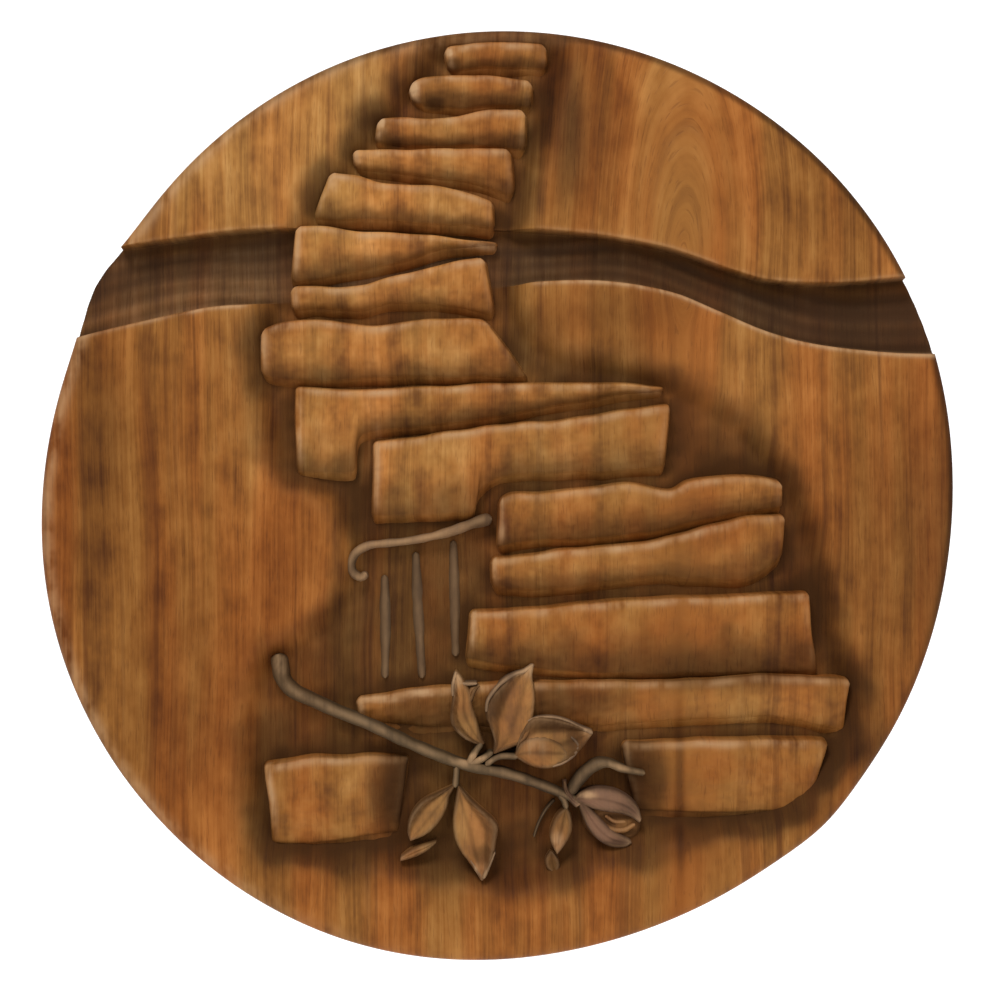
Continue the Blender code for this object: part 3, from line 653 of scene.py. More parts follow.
class Ground:
    """The board's face and what is cut into it, as functions of the place."""

    def __init__(self, sizes):
        self.sizes = sizes
        self.unit = sizes.radius / 100
        shares = np.linspace(0, 1, 240)
        self.upper = spline(UPPER_BANK, shares) * self.unit
        self.lower = spline(LOWER_BANK, shares) * self.unit
        hollow = spline(HOLLOW, np.linspace(0, 1, 110)) * self.unit
        self.hollow = np.vstack([hollow, hollow[:1]])
        self.planks = [plank_outline(sections) * self.unit for sections, *_ in PLANKS]

    def banks(self, x, y):
        """How far each place is above the lower bank's line and below the upper bank's."""
        low = y - np.interp(x, self.lower[:, 0], self.lower[:, 1])
        high = np.interp(x, self.upper[:, 0], self.upper[:, 1]) - y
        return low, high

    def in_hollow(self, x, y):
        """The distance inside the hollow's edge, less than none outside it."""
        away = distance_to(x, y, self.hollow)
        return np.where(inside(x, y, self.hollow), away, -away)

    def to_planks(self, x, y):
        """The distances to the nearest plank and to the next nearest, none inside one."""
        away = [np.where(inside(x, y, line), 0.0, distance_to(x, y, line)) for line in self.planks]
        return np.partition(np.stack(away), 1, axis=0)[:2]

    def to_rim(self, x, y):
        """The distance to the sawn rim, along the radius."""
        return rim_radius(np.arctan2(y, x), self.sizes.radius) - np.hypot(x, y)

    def ripples(self, x, y, low):
        """The phase of the ripples: the swaying distance above the lower bank over their length."""
        return (low + RIPPLE_SWAY * unevenness(x, y, 0.09, 3)) / RIPPLE_LENGTH

    def depth(self, x, y):
        """The deepest of the rounded rim, the river and the hollow, with slight handmade waves."""
        sizes = self.sizes
        low, high = self.banks(x, y)
        hollow = self.in_hollow(x, y)
        edge = quarter_oval(self.to_rim(x, y), sizes.rim_round, sizes.rim_round)
        bed = sizes.river_near + (sizes.river_far - sizes.river_near) * share_up(low, high)
        bed = bed + RIPPLE_HEIGHT * np.sin(self.ripples(x, y, low))
        bank = quarter_oval(-low, LOW_BANK_WORN, BANK_DROP) * (low <= 0)
        bank = np.maximum(bank, quarter_oval(-high, HIGH_BANK_WORN, BANK_DROP) * (high <= 0))
        walls = smoothstep(0, BANK_WALL, low) * smoothstep(0, BANK_WALL, high)
        river = np.where((low > 0) & (high > 0), BANK_DROP + (bed - BANK_DROP) * walls, bank)
        steep = np.clip(hollow / sizes.hollow_slope, 0, 1) ** 1.25
        carved = sizes.hollow_depth * smoothstep(0, 1, steep)
        height, size = FLOOR_WAVES
        carved = carved + height * unevenness(x, y, size, 5) * smoothstep(0.2, 0.8, steep)
        height, size = FACE_WAVES
        waves = height * (1 + unevenness(x, y, size, 1))
        return np.maximum(np.maximum(np.maximum(edge, river), carved) + waves, 0)

    def glaze(self, x, y):
        """Thin glaze all over the hollow and thick close to the planks; in the river glaze and a painted
        shadow, darkest under the upper bank; and painted shade along the rim's upper right.
        """
        low, high = self.banks(x, y)
        hollow = self.in_hollow(x, y) + 0.004 * unevenness(x, y, 0.030, 2)
        close, next_close = self.to_planks(x, y) * (1 + 0.25 * unevenness(x, y, 0.022, 6))
        open_floor = smoothstep(0.001, 0.012, next_close)
        carved = (0.26 + 0.17 * open_floor) * smoothstep(-0.010, 0.020, hollow)
        halo = (0.42 - 0.10 * smoothstep(0.0, 0.08, y)) * (0.25 + 0.75 * open_floor)
        carved = carved + halo * bump(close, 0.0, 0.0085) * smoothstep(-0.008, 0.005, hollow)
        carved = carved + spots(x, y, GROUND_SHADES, self.unit) * smoothstep(-0.013, 0.013, hollow)
        carved = carved * (1 + 0.10 * unevenness(x, y, 0.012, 9))
        up = share_up(low, high)
        # The bed darkens towards the upper bank: glaze and a painted shadow under the overhang.
        left_bed = 0.42 + 0.48 * smoothstep(0.10, 0.80, up + 0.12 * unevenness(x, y, 0.05, 8))
        bed = left_bed + (0.80 - left_bed) * smoothstep(-0.04, 0.03, x)
        bed = bed + 0.10 * smoothstep(0.10, 0.16, x)
        bed = bed - 0.20 * bump(up, 0.08, 0.14) * smoothstep(0.0, 0.02, x) * smoothstep(0.14, 0.10, x)
        bed = bed - 0.16 * bump(up, 0.10, 0.14) * smoothstep(-0.115, -0.135, x)
        bed = bed - 0.16 * bump(up, 0.80, 0.25) * smoothstep(-0.04, -0.07, x)
        ripples = self.ripples(x, y, low)
        bed = bed + 0.07 * np.sin(ripples) + 0.05 * np.sin(0.43 * ripples + 1)
        bed = bed * smoothstep(-0.0004, 0.0012, low) * smoothstep(-0.0004, 0.0012, high)
        # Painted shade along the rim's upper right, the side turned away from the light.
        upper_right = smoothstep(-0.3, 0.8, np.cos(np.arctan2(y, x) - 0.9))
        rim_shade = 0.55 * smoothstep(0.005, 0.0015, self.to_rim(x, y)) * upper_right
        return np.clip(np.maximum(np.maximum(carved, bed), rim_shade), 0, 1)

    def silt(self, x, y):
        """The greyer glaze: all over the river's bed, but not in the shade under the upper bank."""
        low, high = self.banks(x, y)
        bed = smoothstep(0.0, 0.0012, low) * smoothstep(0.0, 0.0012, high)
        fade = share_up(low, high) - 0.10 * smoothstep(-0.03, -0.06, x) + 0.08 * unevenness(x, y, 0.04, 7)
        return bed * smoothstep(0.88, 0.66, fade)

    def wear(self, x, y):
        """Pale along both banks' edges, worn and a painted highlight, strongest on the lower bank, which
        faces the light, and a painted highlight on the left of the rim.
        """
        low, high = self.banks(x, y)
        open_ground = smoothstep(0.004, -0.002, self.in_hollow(x, y))
        # The lower bank's edge faces the light, so its pale line, worn and painted highlight, is three
        # times the upper bank's
        banks = 0.75 * bump(low, -0.0006, 0.0011) + 0.25 * bump(high, -0.0006, 0.0010)
        # A painted highlight on the left of the rim, the side that faces the light
        left = smoothstep(-0.2, 0.9, np.cos(np.arctan2(y, x) - 2.9))
        rim = 0.5 * bump(self.to_rim(x, y), 0.003, 0.0026) * left
        rim = rim * ((low < 0) | (high < 0))
        banks = banks * (0.25 + 0.75 * smoothstep(-0.18, -0.11, x))
        return np.clip(banks * open_ground + rim, 0, 1)


class Thing:
    """A number that a shader works out. Arithmetic on it adds Math nodes."""

    def __init__(self, recipe, socket):
        self.recipe, self.socket = recipe, socket

    def __add__(self, other):
        return self.recipe.maths("ADD", self, other)

    def __radd__(self, other):
        return self.recipe.maths("ADD", other, self)

    def __sub__(self, other):
        return self.recipe.maths("SUBTRACT", self, other)

    def __rsub__(self, other):
        return self.recipe.maths("SUBTRACT", other, self)

    def __mul__(self, other):
        return self.recipe.maths("MULTIPLY", self, other)

    def __rmul__(self, other):
        return self.recipe.maths("MULTIPLY", other, self)

    def __pow__(self, other):
        return self.recipe.maths("POWER", self, other)

    def clamped(self):
        return self.recipe.maths("MINIMUM", self.recipe.maths("MAXIMUM", self, 0.0), 1.0)

    def part(self, name):
        """Another output of the same node."""
        return Thing(self.recipe, self.socket.node.outputs[name])


# How strongly the grain is felt, and its height in metres
BUMP_STRENGTH = 0.4
BUMP_HEIGHT = 0.0004
WHITE = (1.0, 1.0, 1.0, 1.0)


class Recipe:
    """A material's nodes."""

    def __init__(self, name):
        self.material = bpy.data.materials.new(name)
        self.material.use_nodes = True
        self.tree = self.material.node_tree
        self.shader = self.tree.nodes["Principled BSDF"]

    def node(self, kind, settings, sockets, result=0):
        """One node: its settings first, then the values or links of its sockets."""
        made = self.tree.nodes.new(kind)
        for key, value in settings.items():
            if key == "stops":
                ramp = made.color_ramp
                while len(ramp.elements) < len(value):
                    ramp.elements.new(0.5)
                for element, (place, shade) in zip(ramp.elements, value):
                    element.position = place
                    element.color = (*shade, 1)
            else:
                setattr(made, key, value)
        for key, value in sockets.items():
            self.feed(made.inputs[key], value)
        return Thing(self, made.outputs[result])

    def feed(self, socket, value):
        """Links a worked-out value to a socket, or sets a plain one on it."""
        if isinstance(value, Thing):
            self.tree.links.new(value.socket, socket)
        else:
            socket.default_value = value

    def maths(self, operation, a, b):
        return self.node("ShaderNodeMath", {"operation": operation}, {0: a, 1: b})

    def between(self, value, low, high):
        """0 below low and 1 above high, smoothly."""
        return self.node(
            "ShaderNodeMapRange",
            {"interpolation_type": "SMOOTHSTEP"},
            {"Value": value, "From Min": low, "From Max": high},
        )

    def mix(self, factor, a, b):
        """Colour a turning into colour b by the factor."""
        return self.node("ShaderNodeMix", {"data_type": "RGBA"}, {0: factor, 6: a, 7: b}, 2)

    def vector(self, operation, a, b):
        return self.node("ShaderNodeVectorMath", {"operation": operation}, {0: a, 1: b})

    def noise(self, place, stretch, detail=3.0, roughness=0.55):
        """Noise whose cells are stretched: cells per metre along each axis of the place."""
        sockets = {"Vector": self.vector("MULTIPLY", place, stretch), "Scale": 1.0, "Detail": detail}
        return self.node("ShaderNodeTexNoise", {}, {**sockets, "Roughness": roughness})

    def attribute(self, name):
        return self.node("ShaderNodeAttribute", {"attribute_name": name}, {}, "Fac")

    def ramp(self, value, stops):
        """Colours along a value, from stops of a place and three numbers."""
        return self.node("ShaderNodeValToRGB", {"stops": stops}, {"Fac": value})

    def grain(self, tone, finish, places):
        """The dark, the middle and the light wood, at these places of the tone."""
        shades = (finish.dark_wood, finish.middle_wood, finish.light_wood)
        return self.ramp(tone, [(place, tuple(shade)) for place, shade in zip(places, shades)])

    def finish(self, base, roughness, height, gloss):
        """Feeds the shader its colour, roughness, a bump of the height and a steady gloss."""
        sockets = {"Strength": BUMP_STRENGTH, "Distance": BUMP_HEIGHT, "Height": height}
        normal = self.node("ShaderNodeBump", {}, sockets, "Normal")
        values = {"Base Color": base, "Roughness": roughness, "Normal": normal}
        for name, value in {**values, "Specular IOR Level": gloss}.items():
            self.feed(self.shader.inputs[name], value)
        return self.material


def colour(value):
    """A colour property as a socket's four numbers."""
    return (*value, 1.0)


# The growth rings: where the tree's heart lies, in metres, and how far it leans from the board
HEART_X = 0.082
HEART_Z = 0.100
HEART_LEAN = 0.25

# Dark seams that run up through the whole board: x in hundredths of the radius, half width, strength
SEAMS = (
    (-75.5, 0.9, 0.85), (-69.5, 0.5, 0.55), (-47.5, 0.5, 0.40), (-29, 0.5, 0.50), (-17, 0.4, 0.25),
    (9.6, 0.8, 0.75), (13.6, 0.6, 0.60), (24, 0.4, 0.30), (39.5, 0.6, 0.20), (83, 0.5, 0.35),
)


# What the wood's colour is multiplied by where the grain is warm or cool, and where the tone
# darkens or lightens it, by thick or thin stain and by painted shade and light
WARM_GRAIN = (1.06, 0.93, 0.80, 1)
COOL_GRAIN = (0.96, 1.06, 1.06, 1)
DARK_TONE_HUE = (1.05, 0.93, 0.78, 1)
LIGHT_TONE_HUE = (0.95, 1.12, 1.46, 1)


def seam_stops():
    """The seams as a ramp's stops across the board: none, full strength and none again for each."""
    stops = []
    for x, half, strength in SEAMS:
        for place, value in ((x - half, 0.0), (x, strength), (x + half, 0.0)):
            stops.append(((place + 100) / 200, (value,) * 3))
    return tuple(stops)


def stained_wood(name, finish, tint=(1.0, 1.0, 1.0), wash=0.0, grain=1.0, streaks=1.0):
    """Stained wood: streaks that follow growth rings, glaze in the hollows and painted shade, and worn
    pale edges and painted highlights.

    The tree's heart is a line that leans out of the board. The distance from it, the square root of
    the sum of both squares, is the first coordinate of all the streaks, so they run up the board and
    close into arches in front of the heart.
    """
    radius = bpy.context.scene.plaque_sizes.radius
    recipe = Recipe(name)
    place = recipe.node("ShaderNodeTexCoord", {}, {}, "Object")
    corner = recipe.node("ShaderNodeSeparateXYZ", {}, {0: place})
    sway = recipe.noise(place, (14, 14, 5), 2.0) - 0.5
    across = corner + sway * 0.014 - HEART_X
    lean = recipe.maths("MAXIMUM", corner.part("Z") - HEART_Z, 0.0) * HEART_LEAN
    away = lean + recipe.between(corner.part("Z"), HEART_Z, HEART_Z - 0.03) * 0.006
    away = away + (corner.part("Y") - FACE) * 0.12
    ring = (across * across + away * away) ** 0.5
    rings = recipe.node("ShaderNodeCombineXYZ", {}, {0: ring, 1: across, 2: corner.part("Z")})
    broad = recipe.noise(rings, (62, 7, 1.6), 2.0)
    streak = recipe.noise(rings, (330, 18, 6), 3.0, 0.6)
    fine = recipe.noise(rings, (1300, 40, 26), 2.0)
    dark_streak = recipe.noise(rings, (210, 12, 2.6), 2.0)
    warmth = recipe.noise(rings, (44, 9, 5), 2.0)
    cloud = recipe.noise(place, (95, 60, 60), 3.0)
    pores = recipe.noise(rings, (1900, 90, 130), 1.0)
    mottle = recipe.noise(place, (150, 150, 120), 2.0)
    lines = 0.28 * (streak - 0.5) + 0.16 * (fine - 0.5)
    patches = 0.24 * (broad - 0.5) + 0.32 * (cloud - 0.5) + (mottle - 0.5) * (0.45 * (1 - streaks))
    calm = (0.30 + 0.70 * recipe.between(ring, 0.002, 0.034)) * grain
    tone = (lines * streaks + patches) * calm + 0.5
    wood = recipe.grain(tone, finish, (0.37, 0.50, 0.63))
    warmth = warmth * streaks + recipe.noise(place, (55, 55, 45), 2.0) * (1 - streaks)
    hue = recipe.mix(recipe.between(warmth, 0.35, 0.65), WARM_GRAIN, COOL_GRAIN)
    wood = recipe.vector("MULTIPLY", wood, hue)
    seams = recipe.ramp((corner + sway * 0.006) * (0.5 / radius) + 0.5, seam_stops())
    seams = seams * recipe.between(recipe.noise(place, (30, 30, 16), 2.0), 0.30, 0.60)
    dark_lines = recipe.between(dark_streak, 0.58, 0.72) * 0.60
    dark = dark_lines * calm * streaks + seams * (0.8 * grain)
    wood = recipe.mix(dark.clamped(), wood, colour(finish.dark_wood))
    specks = recipe.between(pores, 0.60, 0.70)
    wood = recipe.mix(specks * 0.30, wood, colour(finish.dark_wood))
    wood = recipe.mix(wash, wood, colour(finish.wash))
    wood = recipe.vector("MULTIPLY", wood, tint)
    # The tone: thicker or thinner stain, and painted shade and light over wide areas; it shifts the hue
    # and scales the colour
    tone_shift = recipe.attribute("tone")
    tone_hue = recipe.mix(recipe.between(tone_shift, -0.45, 0.45), DARK_TONE_HUE, LIGHT_TONE_HUE)
    wood = recipe.vector("MULTIPLY", wood, tone_hue)
    scaled = {0: wood, "Scale": 1.0 + tone_shift}
    wood = recipe.node("ShaderNodeVectorMath", {"operation": "SCALE"}, scaled)
    # Glaze darkens the wood, first to the stain, then to the glaze colour: real glaze in the hollows, and
    # painted shade on the planks' feet, under the upper bank and on the rim's upper right.
    glazed_and_shaded = recipe.attribute("glaze") * (0.75 + 0.5 * cloud)
    stain = recipe.vector("MULTIPLY", wood, tuple(finish.stain))
    wood = recipe.mix(recipe.between(glazed_and_shaded, 0.0, 0.60), wood, stain)
    wood = recipe.mix(recipe.between(glazed_and_shaded, 0.50, 1.0) * 0.85, wood, colour(finish.glaze))
    greyer = recipe.mix(recipe.attribute("silt"), WHITE, colour(finish.silt))
    wood = recipe.vector("MULTIPLY", wood, greyer)
    # The pale worn colour shows where the stain is worn off and where highlights are painted.
    wear = recipe.attribute("wear")
    worn = wear * recipe.between(cloud + 0.5 * streak, 0.50, 0.90)
    worn = worn + 0.7 * recipe.between(wear, 1.0, 1.6)
    wood = recipe.mix(worn.clamped(), wood, colour(finish.worn))
    roughness = (0.42 + 0.2 * streak + 0.45 * glazed_and_shaded).clamped()
    return recipe.finish(wood, roughness, 0.5 * streak + 0.4 * fine - 0.5 * specks, 0.12)


# How each part's finish departs from the board's: the tint on the wood, the share of grey-brown wash,
# how strong the grain is, and the share of streaks in it, the rest being patches
WOODS = {
    "carved_wood": {},
    "plank_wood": {"streaks": 0.58},
    "stem_wood": {"tint": (0.41, 0.45, 0.42), "wash": 0.75, "grain": 0.5},
    "edge_wood": {"tint": (0.64, 0.66, 0.68), "wash": 0.80, "grain": 0.5},
    "leaf_wood": {"tint": (1.0, 1.04, 1.0), "wash": 0.22, "grain": 0.9, "streaks": 0.35},
    "bud_wood": {"tint": (0.82, 0.77, 0.86), "wash": 0.72, "grain": 0.5},
    "rail_wood": {"tint": (1.0, 1.03, 1.0), "wash": 0.70},
}


def wood_for(name):
    """The named wood, made once."""
    finish = bpy.context.scene.plaque_finish
    return bpy.data.materials.get(name) or stained_wood(name, finish, **WOODS[name])


def back_wood():
    """The flat back: the same wood sawn and hardly stained, paler and rougher, with faint saw marks."""
    recipe = Recipe("sawn_wood")
    finish = bpy.context.scene.plaque_finish
    place = recipe.node("ShaderNodeTexCoord", {}, {}, "Object")
    grain = recipe.noise(place, (150, 150, 5))
    broad = recipe.noise(place, (22, 22, 2), 2.0)
    saw = recipe.noise(place, (6, 6, 700), 2.0)
    wood = recipe.grain(0.5 * grain + 0.5 * broad, finish, (0.36, 0.50, 0.66))
    wood = recipe.mix(0.55, wood, colour(finish.worn))
    wood = recipe.mix(recipe.between(saw, 0.45, 0.75) * 0.30, wood, colour(finish.middle_wood))
    return recipe.finish(wood, 0.62 + 0.15 * grain, 0.4 * saw + 0.6 * grain, 0.10)


# The glaze on the sawn rim, from the face to the back, on the chamfer and in the keyhole
RIM_GLAZE = (0.25, 0.25, 0.25)
CHAMFER_GLAZE = 0.1
KEYHOLE_GLAZE = 0.3
# How far the slot behind the keyhole's opening is kept outside it, in metres, and the share of the
# radius within which faces near the back belong to the sawn back
KEYHOLE_STEP = 0.0001
BACK_SHARE = 0.94
# Rows of the board's grid by the lower bank, in millimetres above its edge. They lie by the upper
# bank the other way round. Then the shares of the cells below the river, in its bed and above it
BANK_ROWS = np.array([-2.6, -1.8, -1.2, -0.7, -0.3, 0, 0.12, 0.35, 0.55, 0.8, 1.6])
MILLIMETRE = 0.001
ROWS_BELOW = 0.66
ROWS_IN_BED = 0.06
ROWS_ABOVE = 0.20


class PLAQUE_OT_board(Operator):
    """Make the board: rim, banks, river and hollowed ground."""

    bl_idname = "plaque.board"
    bl_label = "Board"

    def execute(self, context):
        sizes = context.scene.plaque_sizes
        ground = Ground(sizes)
        x, y = board_places(ground, sizes.board_cells)
        shell = Shell()
        surface = (x, y, ground.depth(x, y), ground.glaze(x, y), ground.wear(x, y))
        above, rim_x, rim_y = shell.walled(surface, THICKNESS - sizes.back_chamfer, 0.0, RIM_GLAZE)
        inner = 1 - sizes.back_chamfer / np.hypot(rim_x, rim_y)
        depth = np.full(rim_x.shape, THICKNESS)
        below = shell.add(rim_x * inner, rim_y * inner, depth, CHAMFER_GLAZE, 0.0)
        shell.ring(above, below)
        add_back(shell, below, rim_x, sizes)
        woods = [wood_for("carved_wood"), back_wood()]
        name_back_faces(shell.finish("plaque_board", woods, silt=ground.silt), sizes)
        return {"FINISHED"}


def keyhole_outlines(sizes):
    """Two outlines round the hole, as x and y: the opening in the back, and the wider slot behind it.

    A ray at an angle from straight up leaves a slot of half width w and travel t through its round
    end, at t cos + sqrt(w^2 - (t sin)^2), or through its side, at w / sin. The opening is the
    farther of the hole's circle and the neck. Below the middle both are the circle.
    """
    hole, neck, travel = sizes.keyhole_head / 2, sizes.keyhole_neck / 2, sizes.keyhole_travel
    corners = np.array([math.atan2(neck, travel), math.atan2(hole, travel), math.asin(neck / hole)])
    even = np.linspace(-math.pi, math.pi, 49)[:-1]
    turns = np.unique(np.concatenate([even, corners, -corners]))

    def slot(half):
        side = half / np.maximum(np.abs(np.sin(turns)), 1e-9)
        end = travel * np.cos(turns) + np.sqrt(np.maximum(half**2 - (travel * np.sin(turns)) ** 2, 0))
        reach = np.where(np.abs(turns) < math.atan2(half, travel), end, side)
        return np.where(np.abs(turns) < math.pi / 2, reach, hole)

    opening = np.maximum(slot(neck), hole)
    behind = np.maximum(slot(hole), opening + KEYHOLE_STEP)
    centre = sizes.radius - sizes.keyhole_below_top
    return [(reach * np.sin(turns), centre + reach * np.cos(turns)) for reach in (opening, behind)]


def arc(ring, start, end):
    """The points of a closed ring from one place in it round to another, both included."""
    return np.roll(ring, -start)[: (end - start) % len(ring) + 1]


def add_back(shell, rim, rim_x, sizes):
    """Closes the back: the keyhole's walls and bottom, and the flat round it in two halves."""
    opening, behind = keyhole_outlines(sizes)
    lip, bottom = sizes.keyhole_lip, sizes.keyhole_depth
    rings = [
        shell.add(x, y, np.full(x.shape, THICKNESS - level), KEYHOLE_GLAZE, 0.0)
        for (x, y), level in ((opening, 0.0), (opening, lip), (behind, lip), (behind, bottom))
    ]
    for outer, inner in zip(rings, rings[1:]):
        shell.ring(inner, outer)
    shell.caps.append(rings[-1])
    hole = rings[0]
    hole_top, hole_low = np.argmax(opening[1]), np.argmin(opening[1])
    side = len(rim) // 4
    rim_top = 2 * side + np.argmin(np.abs(rim_x[2 * side : 3 * side]))
    rim_low = np.argmin(np.abs(rim_x[:side]))
    right = np.concatenate([arc(rim, rim_low, rim_top), arc(hole, hole_top, hole_low)])
    left = np.concatenate([arc(rim, rim_top, rim_low), arc(hole, hole_low, hole_top)])
    shell.caps += [right[::-1], left[::-1]]


def name_back_faces(piece, sizes):
    """Gives the flat back and the keyhole's faces the second material."""
    faces = piece.data.polygons
    centres = np.empty(len(faces) * 3, np.float32)
    faces.foreach_get("center", centres)
    x, y, z = centres.reshape(-1, 3).T
    near_back = y > BACK - sizes.keyhole_depth - KEYHOLE_STEP
    hidden = near_back & (np.hypot(x, z) < sizes.radius * BACK_SHARE)
    faces.foreach_set("material_index", hidden.astype(np.int32))


def to_disc(a, b):
    """A square's point (a, b) on the unit disc: (a sqrt(1 - b^2/2), b sqrt(1 - a^2/2))."""
    return a * np.sqrt(1 - b**2 / 2), b * np.sqrt(1 - a**2 / 2)


def board_places(ground, cells):
    """The places of the board's grid: a square drawn out to the rim's shape.

    A square's point goes to the unit disc, and that to the rim's radius at its angle. The rows are
    moved so that some run along both banks.
    """
    radius = ground.sizes.radius
    edge = ground.sizes.rim_round / radius * 1.3
    near = edge * EDGE_SHARES
    inner = np.linspace(-1 + edge, 1 - edge, cells + 1)[1:-1]
    columns = np.concatenate([-1 + near, inner, 1 - near[::-1]])

    def disc(a, b):
        across, up = to_disc(a, b)
        reach = rim_radius(np.arctan2(up, across), radius)
        return across * reach, up * reach

    def row_at(line):
        low, high = np.full(columns.shape, -1.0), np.full(columns.shape, 1.0)
        for _ in range(40):
            middle = (low + high) / 2
            x, y = disc(columns, middle)
            above = y > np.interp(x, line[:, 0], line[:, 1])
            low, high = np.where(above, low, middle), np.where(above, middle, high)
        return (low + high) / 2

    lower, upper = row_at(ground.lower), row_at(ground.upper)
    step = MILLIMETRE / (radius * np.sqrt(1 - columns**2 / 2))
    inner_low = lower[None] + BANK_ROWS[:, None] * step
    inner_high = upper[None] - BANK_ROWS[::-1, None] * step
    below = np.concatenate([near, np.linspace(edge, 1, round(cells * ROWS_BELOW))[1:]])
    below = -1 + below[:-1, None] * (inner_low[0] + 1)
    bed_cells = max(8, round(cells * ROWS_IN_BED))
    bed = inner_low[-1] + (inner_high[0] - inner_low[-1]) * np.linspace(0, 1, bed_cells + 1)[1:-1, None]
    above = np.linspace(0, 1 - edge, round(cells * ROWS_ABOVE))[1:]
    above = np.concatenate([above, 1 - near[::-1][1:]])
    above = inner_high[-1] + (1 - inner_high[-1]) * above[:, None]
    rows = np.concatenate([below, inner_low, bed, inner_high, above])
    return disc(np.broadcast_to(columns, rows.shape), rows)


# The glaze on a plank's walls, then its handwork, as the height and the sizes of waves in metres:
# along its outline, on its face, and the marks of the tool
PLANK_WALL_GLAZE = (0.20, 0.32, 0.38)
OUTLINE_WAVES = (0.0004, 0.030, 0.024)
PLANK_WAVES = (0.0003, 0.018)
TOOL_MARKS = (0.0002, 0.008)


class PLAQUE_OT_planks(Operator):
    """Make the planks of the walk, each with rounded, worn edges and a foot that dips."""

    bl_idname = "plaque.planks"
    bl_label = "Planks"

    def execute(self, context):
        sizes = context.scene.plaque_sizes
        for number, (sections, left_depth, right_depth) in enumerate(PLANKS, 1):
            shell = Shell()
            surface = plank_surface(number, sections, left_depth, right_depth, sizes)
            shell.relief(surface, sizes.plank_flare, PLANK_WALL_GLAZE)
            shell.finish(f"plank_{number:02}", [wood_for("plank_wood")])
        return {"FINISHED"}


def plank_surface(number, sections, left_depth, right_depth, sizes):
    """The places, depths, glaze and painted shade, and wear and painted highlight of a plank's face.

    Each place lies between the foot and the head of a cross section, or on the skirt that falls away
    below the foot. The depth is the ends' depth, plus a dip that grows with the square of the way to
    the foot, plus quarter ovals at the head and both ends, plus the skirt's fall.
    """
    unit = sizes.radius / 100
    sections = np.array(sections, float) * unit
    middle = spline(sections, np.linspace(0, 1, 60))
    length = length_of((middle[:, :2] + middle[:, 2:]) / 2)
    cells = max(12, round(length / sizes.fine_step / 1.3))
    along = strip_shares(length, sizes.plank_round, cells)[0]
    line = spline(sections, along)
    head, foot = line[:, :2], line[:, 2:]
    width = np.linalg.norm(head - foot, axis=1)
    inner = max(8, round(width.max() / sizes.fine_step / 1.2))
    rows = strip_shares(width, sizes.plank_round, inner).T
    skirt = sizes.plank_skirt / width
    rows = np.concatenate([-skirt * SKIRT_SHARES[:, None], rows])
    distance = along * length
    from_end = np.minimum(distance, length - distance)
    reach = sizes.plank_round * CORNERS[number - 1]
    corner = np.minimum(reach, width * 0.25)
    tuck = corner * np.clip(1 - from_end / reach, 0, 1) ** 2
    rise = (tuck + rows * (width - 2 * tuck)) / width
    x = foot[:, 0] + (head[:, 0] - foot[:, 0]) * rise
    y = foot[:, 1] + (head[:, 1] - foot[:, 1]) * rise
    waver, size_x, size_y = OUTLINE_WAVES
    x = x + waver * unevenness(x, y, size_x, number + 11)
    y = y + waver * unevenness(x, y, size_y, number + 5)
    to_foot = rise * width
    to_head = (1 - rise) * width
    below = np.clip(-rows * width / sizes.plank_skirt, 0, 1)
    up = np.clip(rise, 0, 1)
    depth = left_depth + (right_depth - left_depth) * along
    depth = depth + sizes.plank_dip * (1 - up) ** 2 - sizes.plank_crown * np.sin(math.pi * along)
    depth = depth + quarter_oval(from_end, sizes.plank_round, sizes.plank_drop)
    depth = depth + quarter_oval(to_head, np.minimum(sizes.plank_round, width * 0.3), sizes.plank_drop)
    depth = depth + 0.5 * quarter_oval(np.maximum(to_foot, 0), 0.0024, sizes.plank_drop)
    depth = depth + PLANK_WAVES[0] * unevenness(x, y, PLANK_WAVES[1], number)
    depth = depth + TOOL_MARKS[0] * unevenness(x, 2 * y, TOOL_MARKS[1], number + 7)
    depth = depth + (np.maximum(depth, sizes.hollow_depth + 0.0005) - depth) * below**1.3
    rough = unevenness(x, y, 0.02, number + 3)
    start, full, strength, on_skirt = FOOT_SHADES[number - 1]
    shaded = spots(x, y, SHADES, unit)
    # Darker towards the foot: stain and painted shade where the face turns down from the light, then the
    # skirt's glaze and painted shade
    glaze = strength * smoothstep(start, full, 1 - up + 0.08 * rough)
    glaze = glaze + (on_skirt - glaze) * smoothstep(0.0012, 0.0, to_foot)
    glaze = np.maximum(glaze, 0.28 * smoothstep(0.0010, 0.0, from_end) * np.ones_like(rise))
    glaze = np.maximum(glaze, 0.16 * smoothstep(0.0006, 0.0, to_head))
    glaze = np.maximum(glaze, shaded + 0.4 * glaze * (shaded > 0.1))
    # Pale head edge: worn, and a painted highlight where it faces the light above. Pale ends: a painted
    # highlight, strong on the left ends that face the light and weak on the right ones
    wear = 0.75 * bump(to_head, 0.0018, 0.0016) * (0.70 + 0.35 * rough)
    ends = 0.7 * bump(from_end, 0.0017, 0.0014) * smoothstep(0.0, 0.4, rise) * np.ones_like(rise)
    ends = ends * np.where(along < 0.5, 1.0, 0.2)
    wear = np.maximum(wear, ends) * (1 - 0.75 * np.clip(shaded, 0, 1))
    wear = np.maximum(wear, spots(x, y, RUBBED, unit))
    return x, y, np.maximum(depth, SKIN), np.clip(glaze, 0, 1), np.clip(wear, 0, 2)


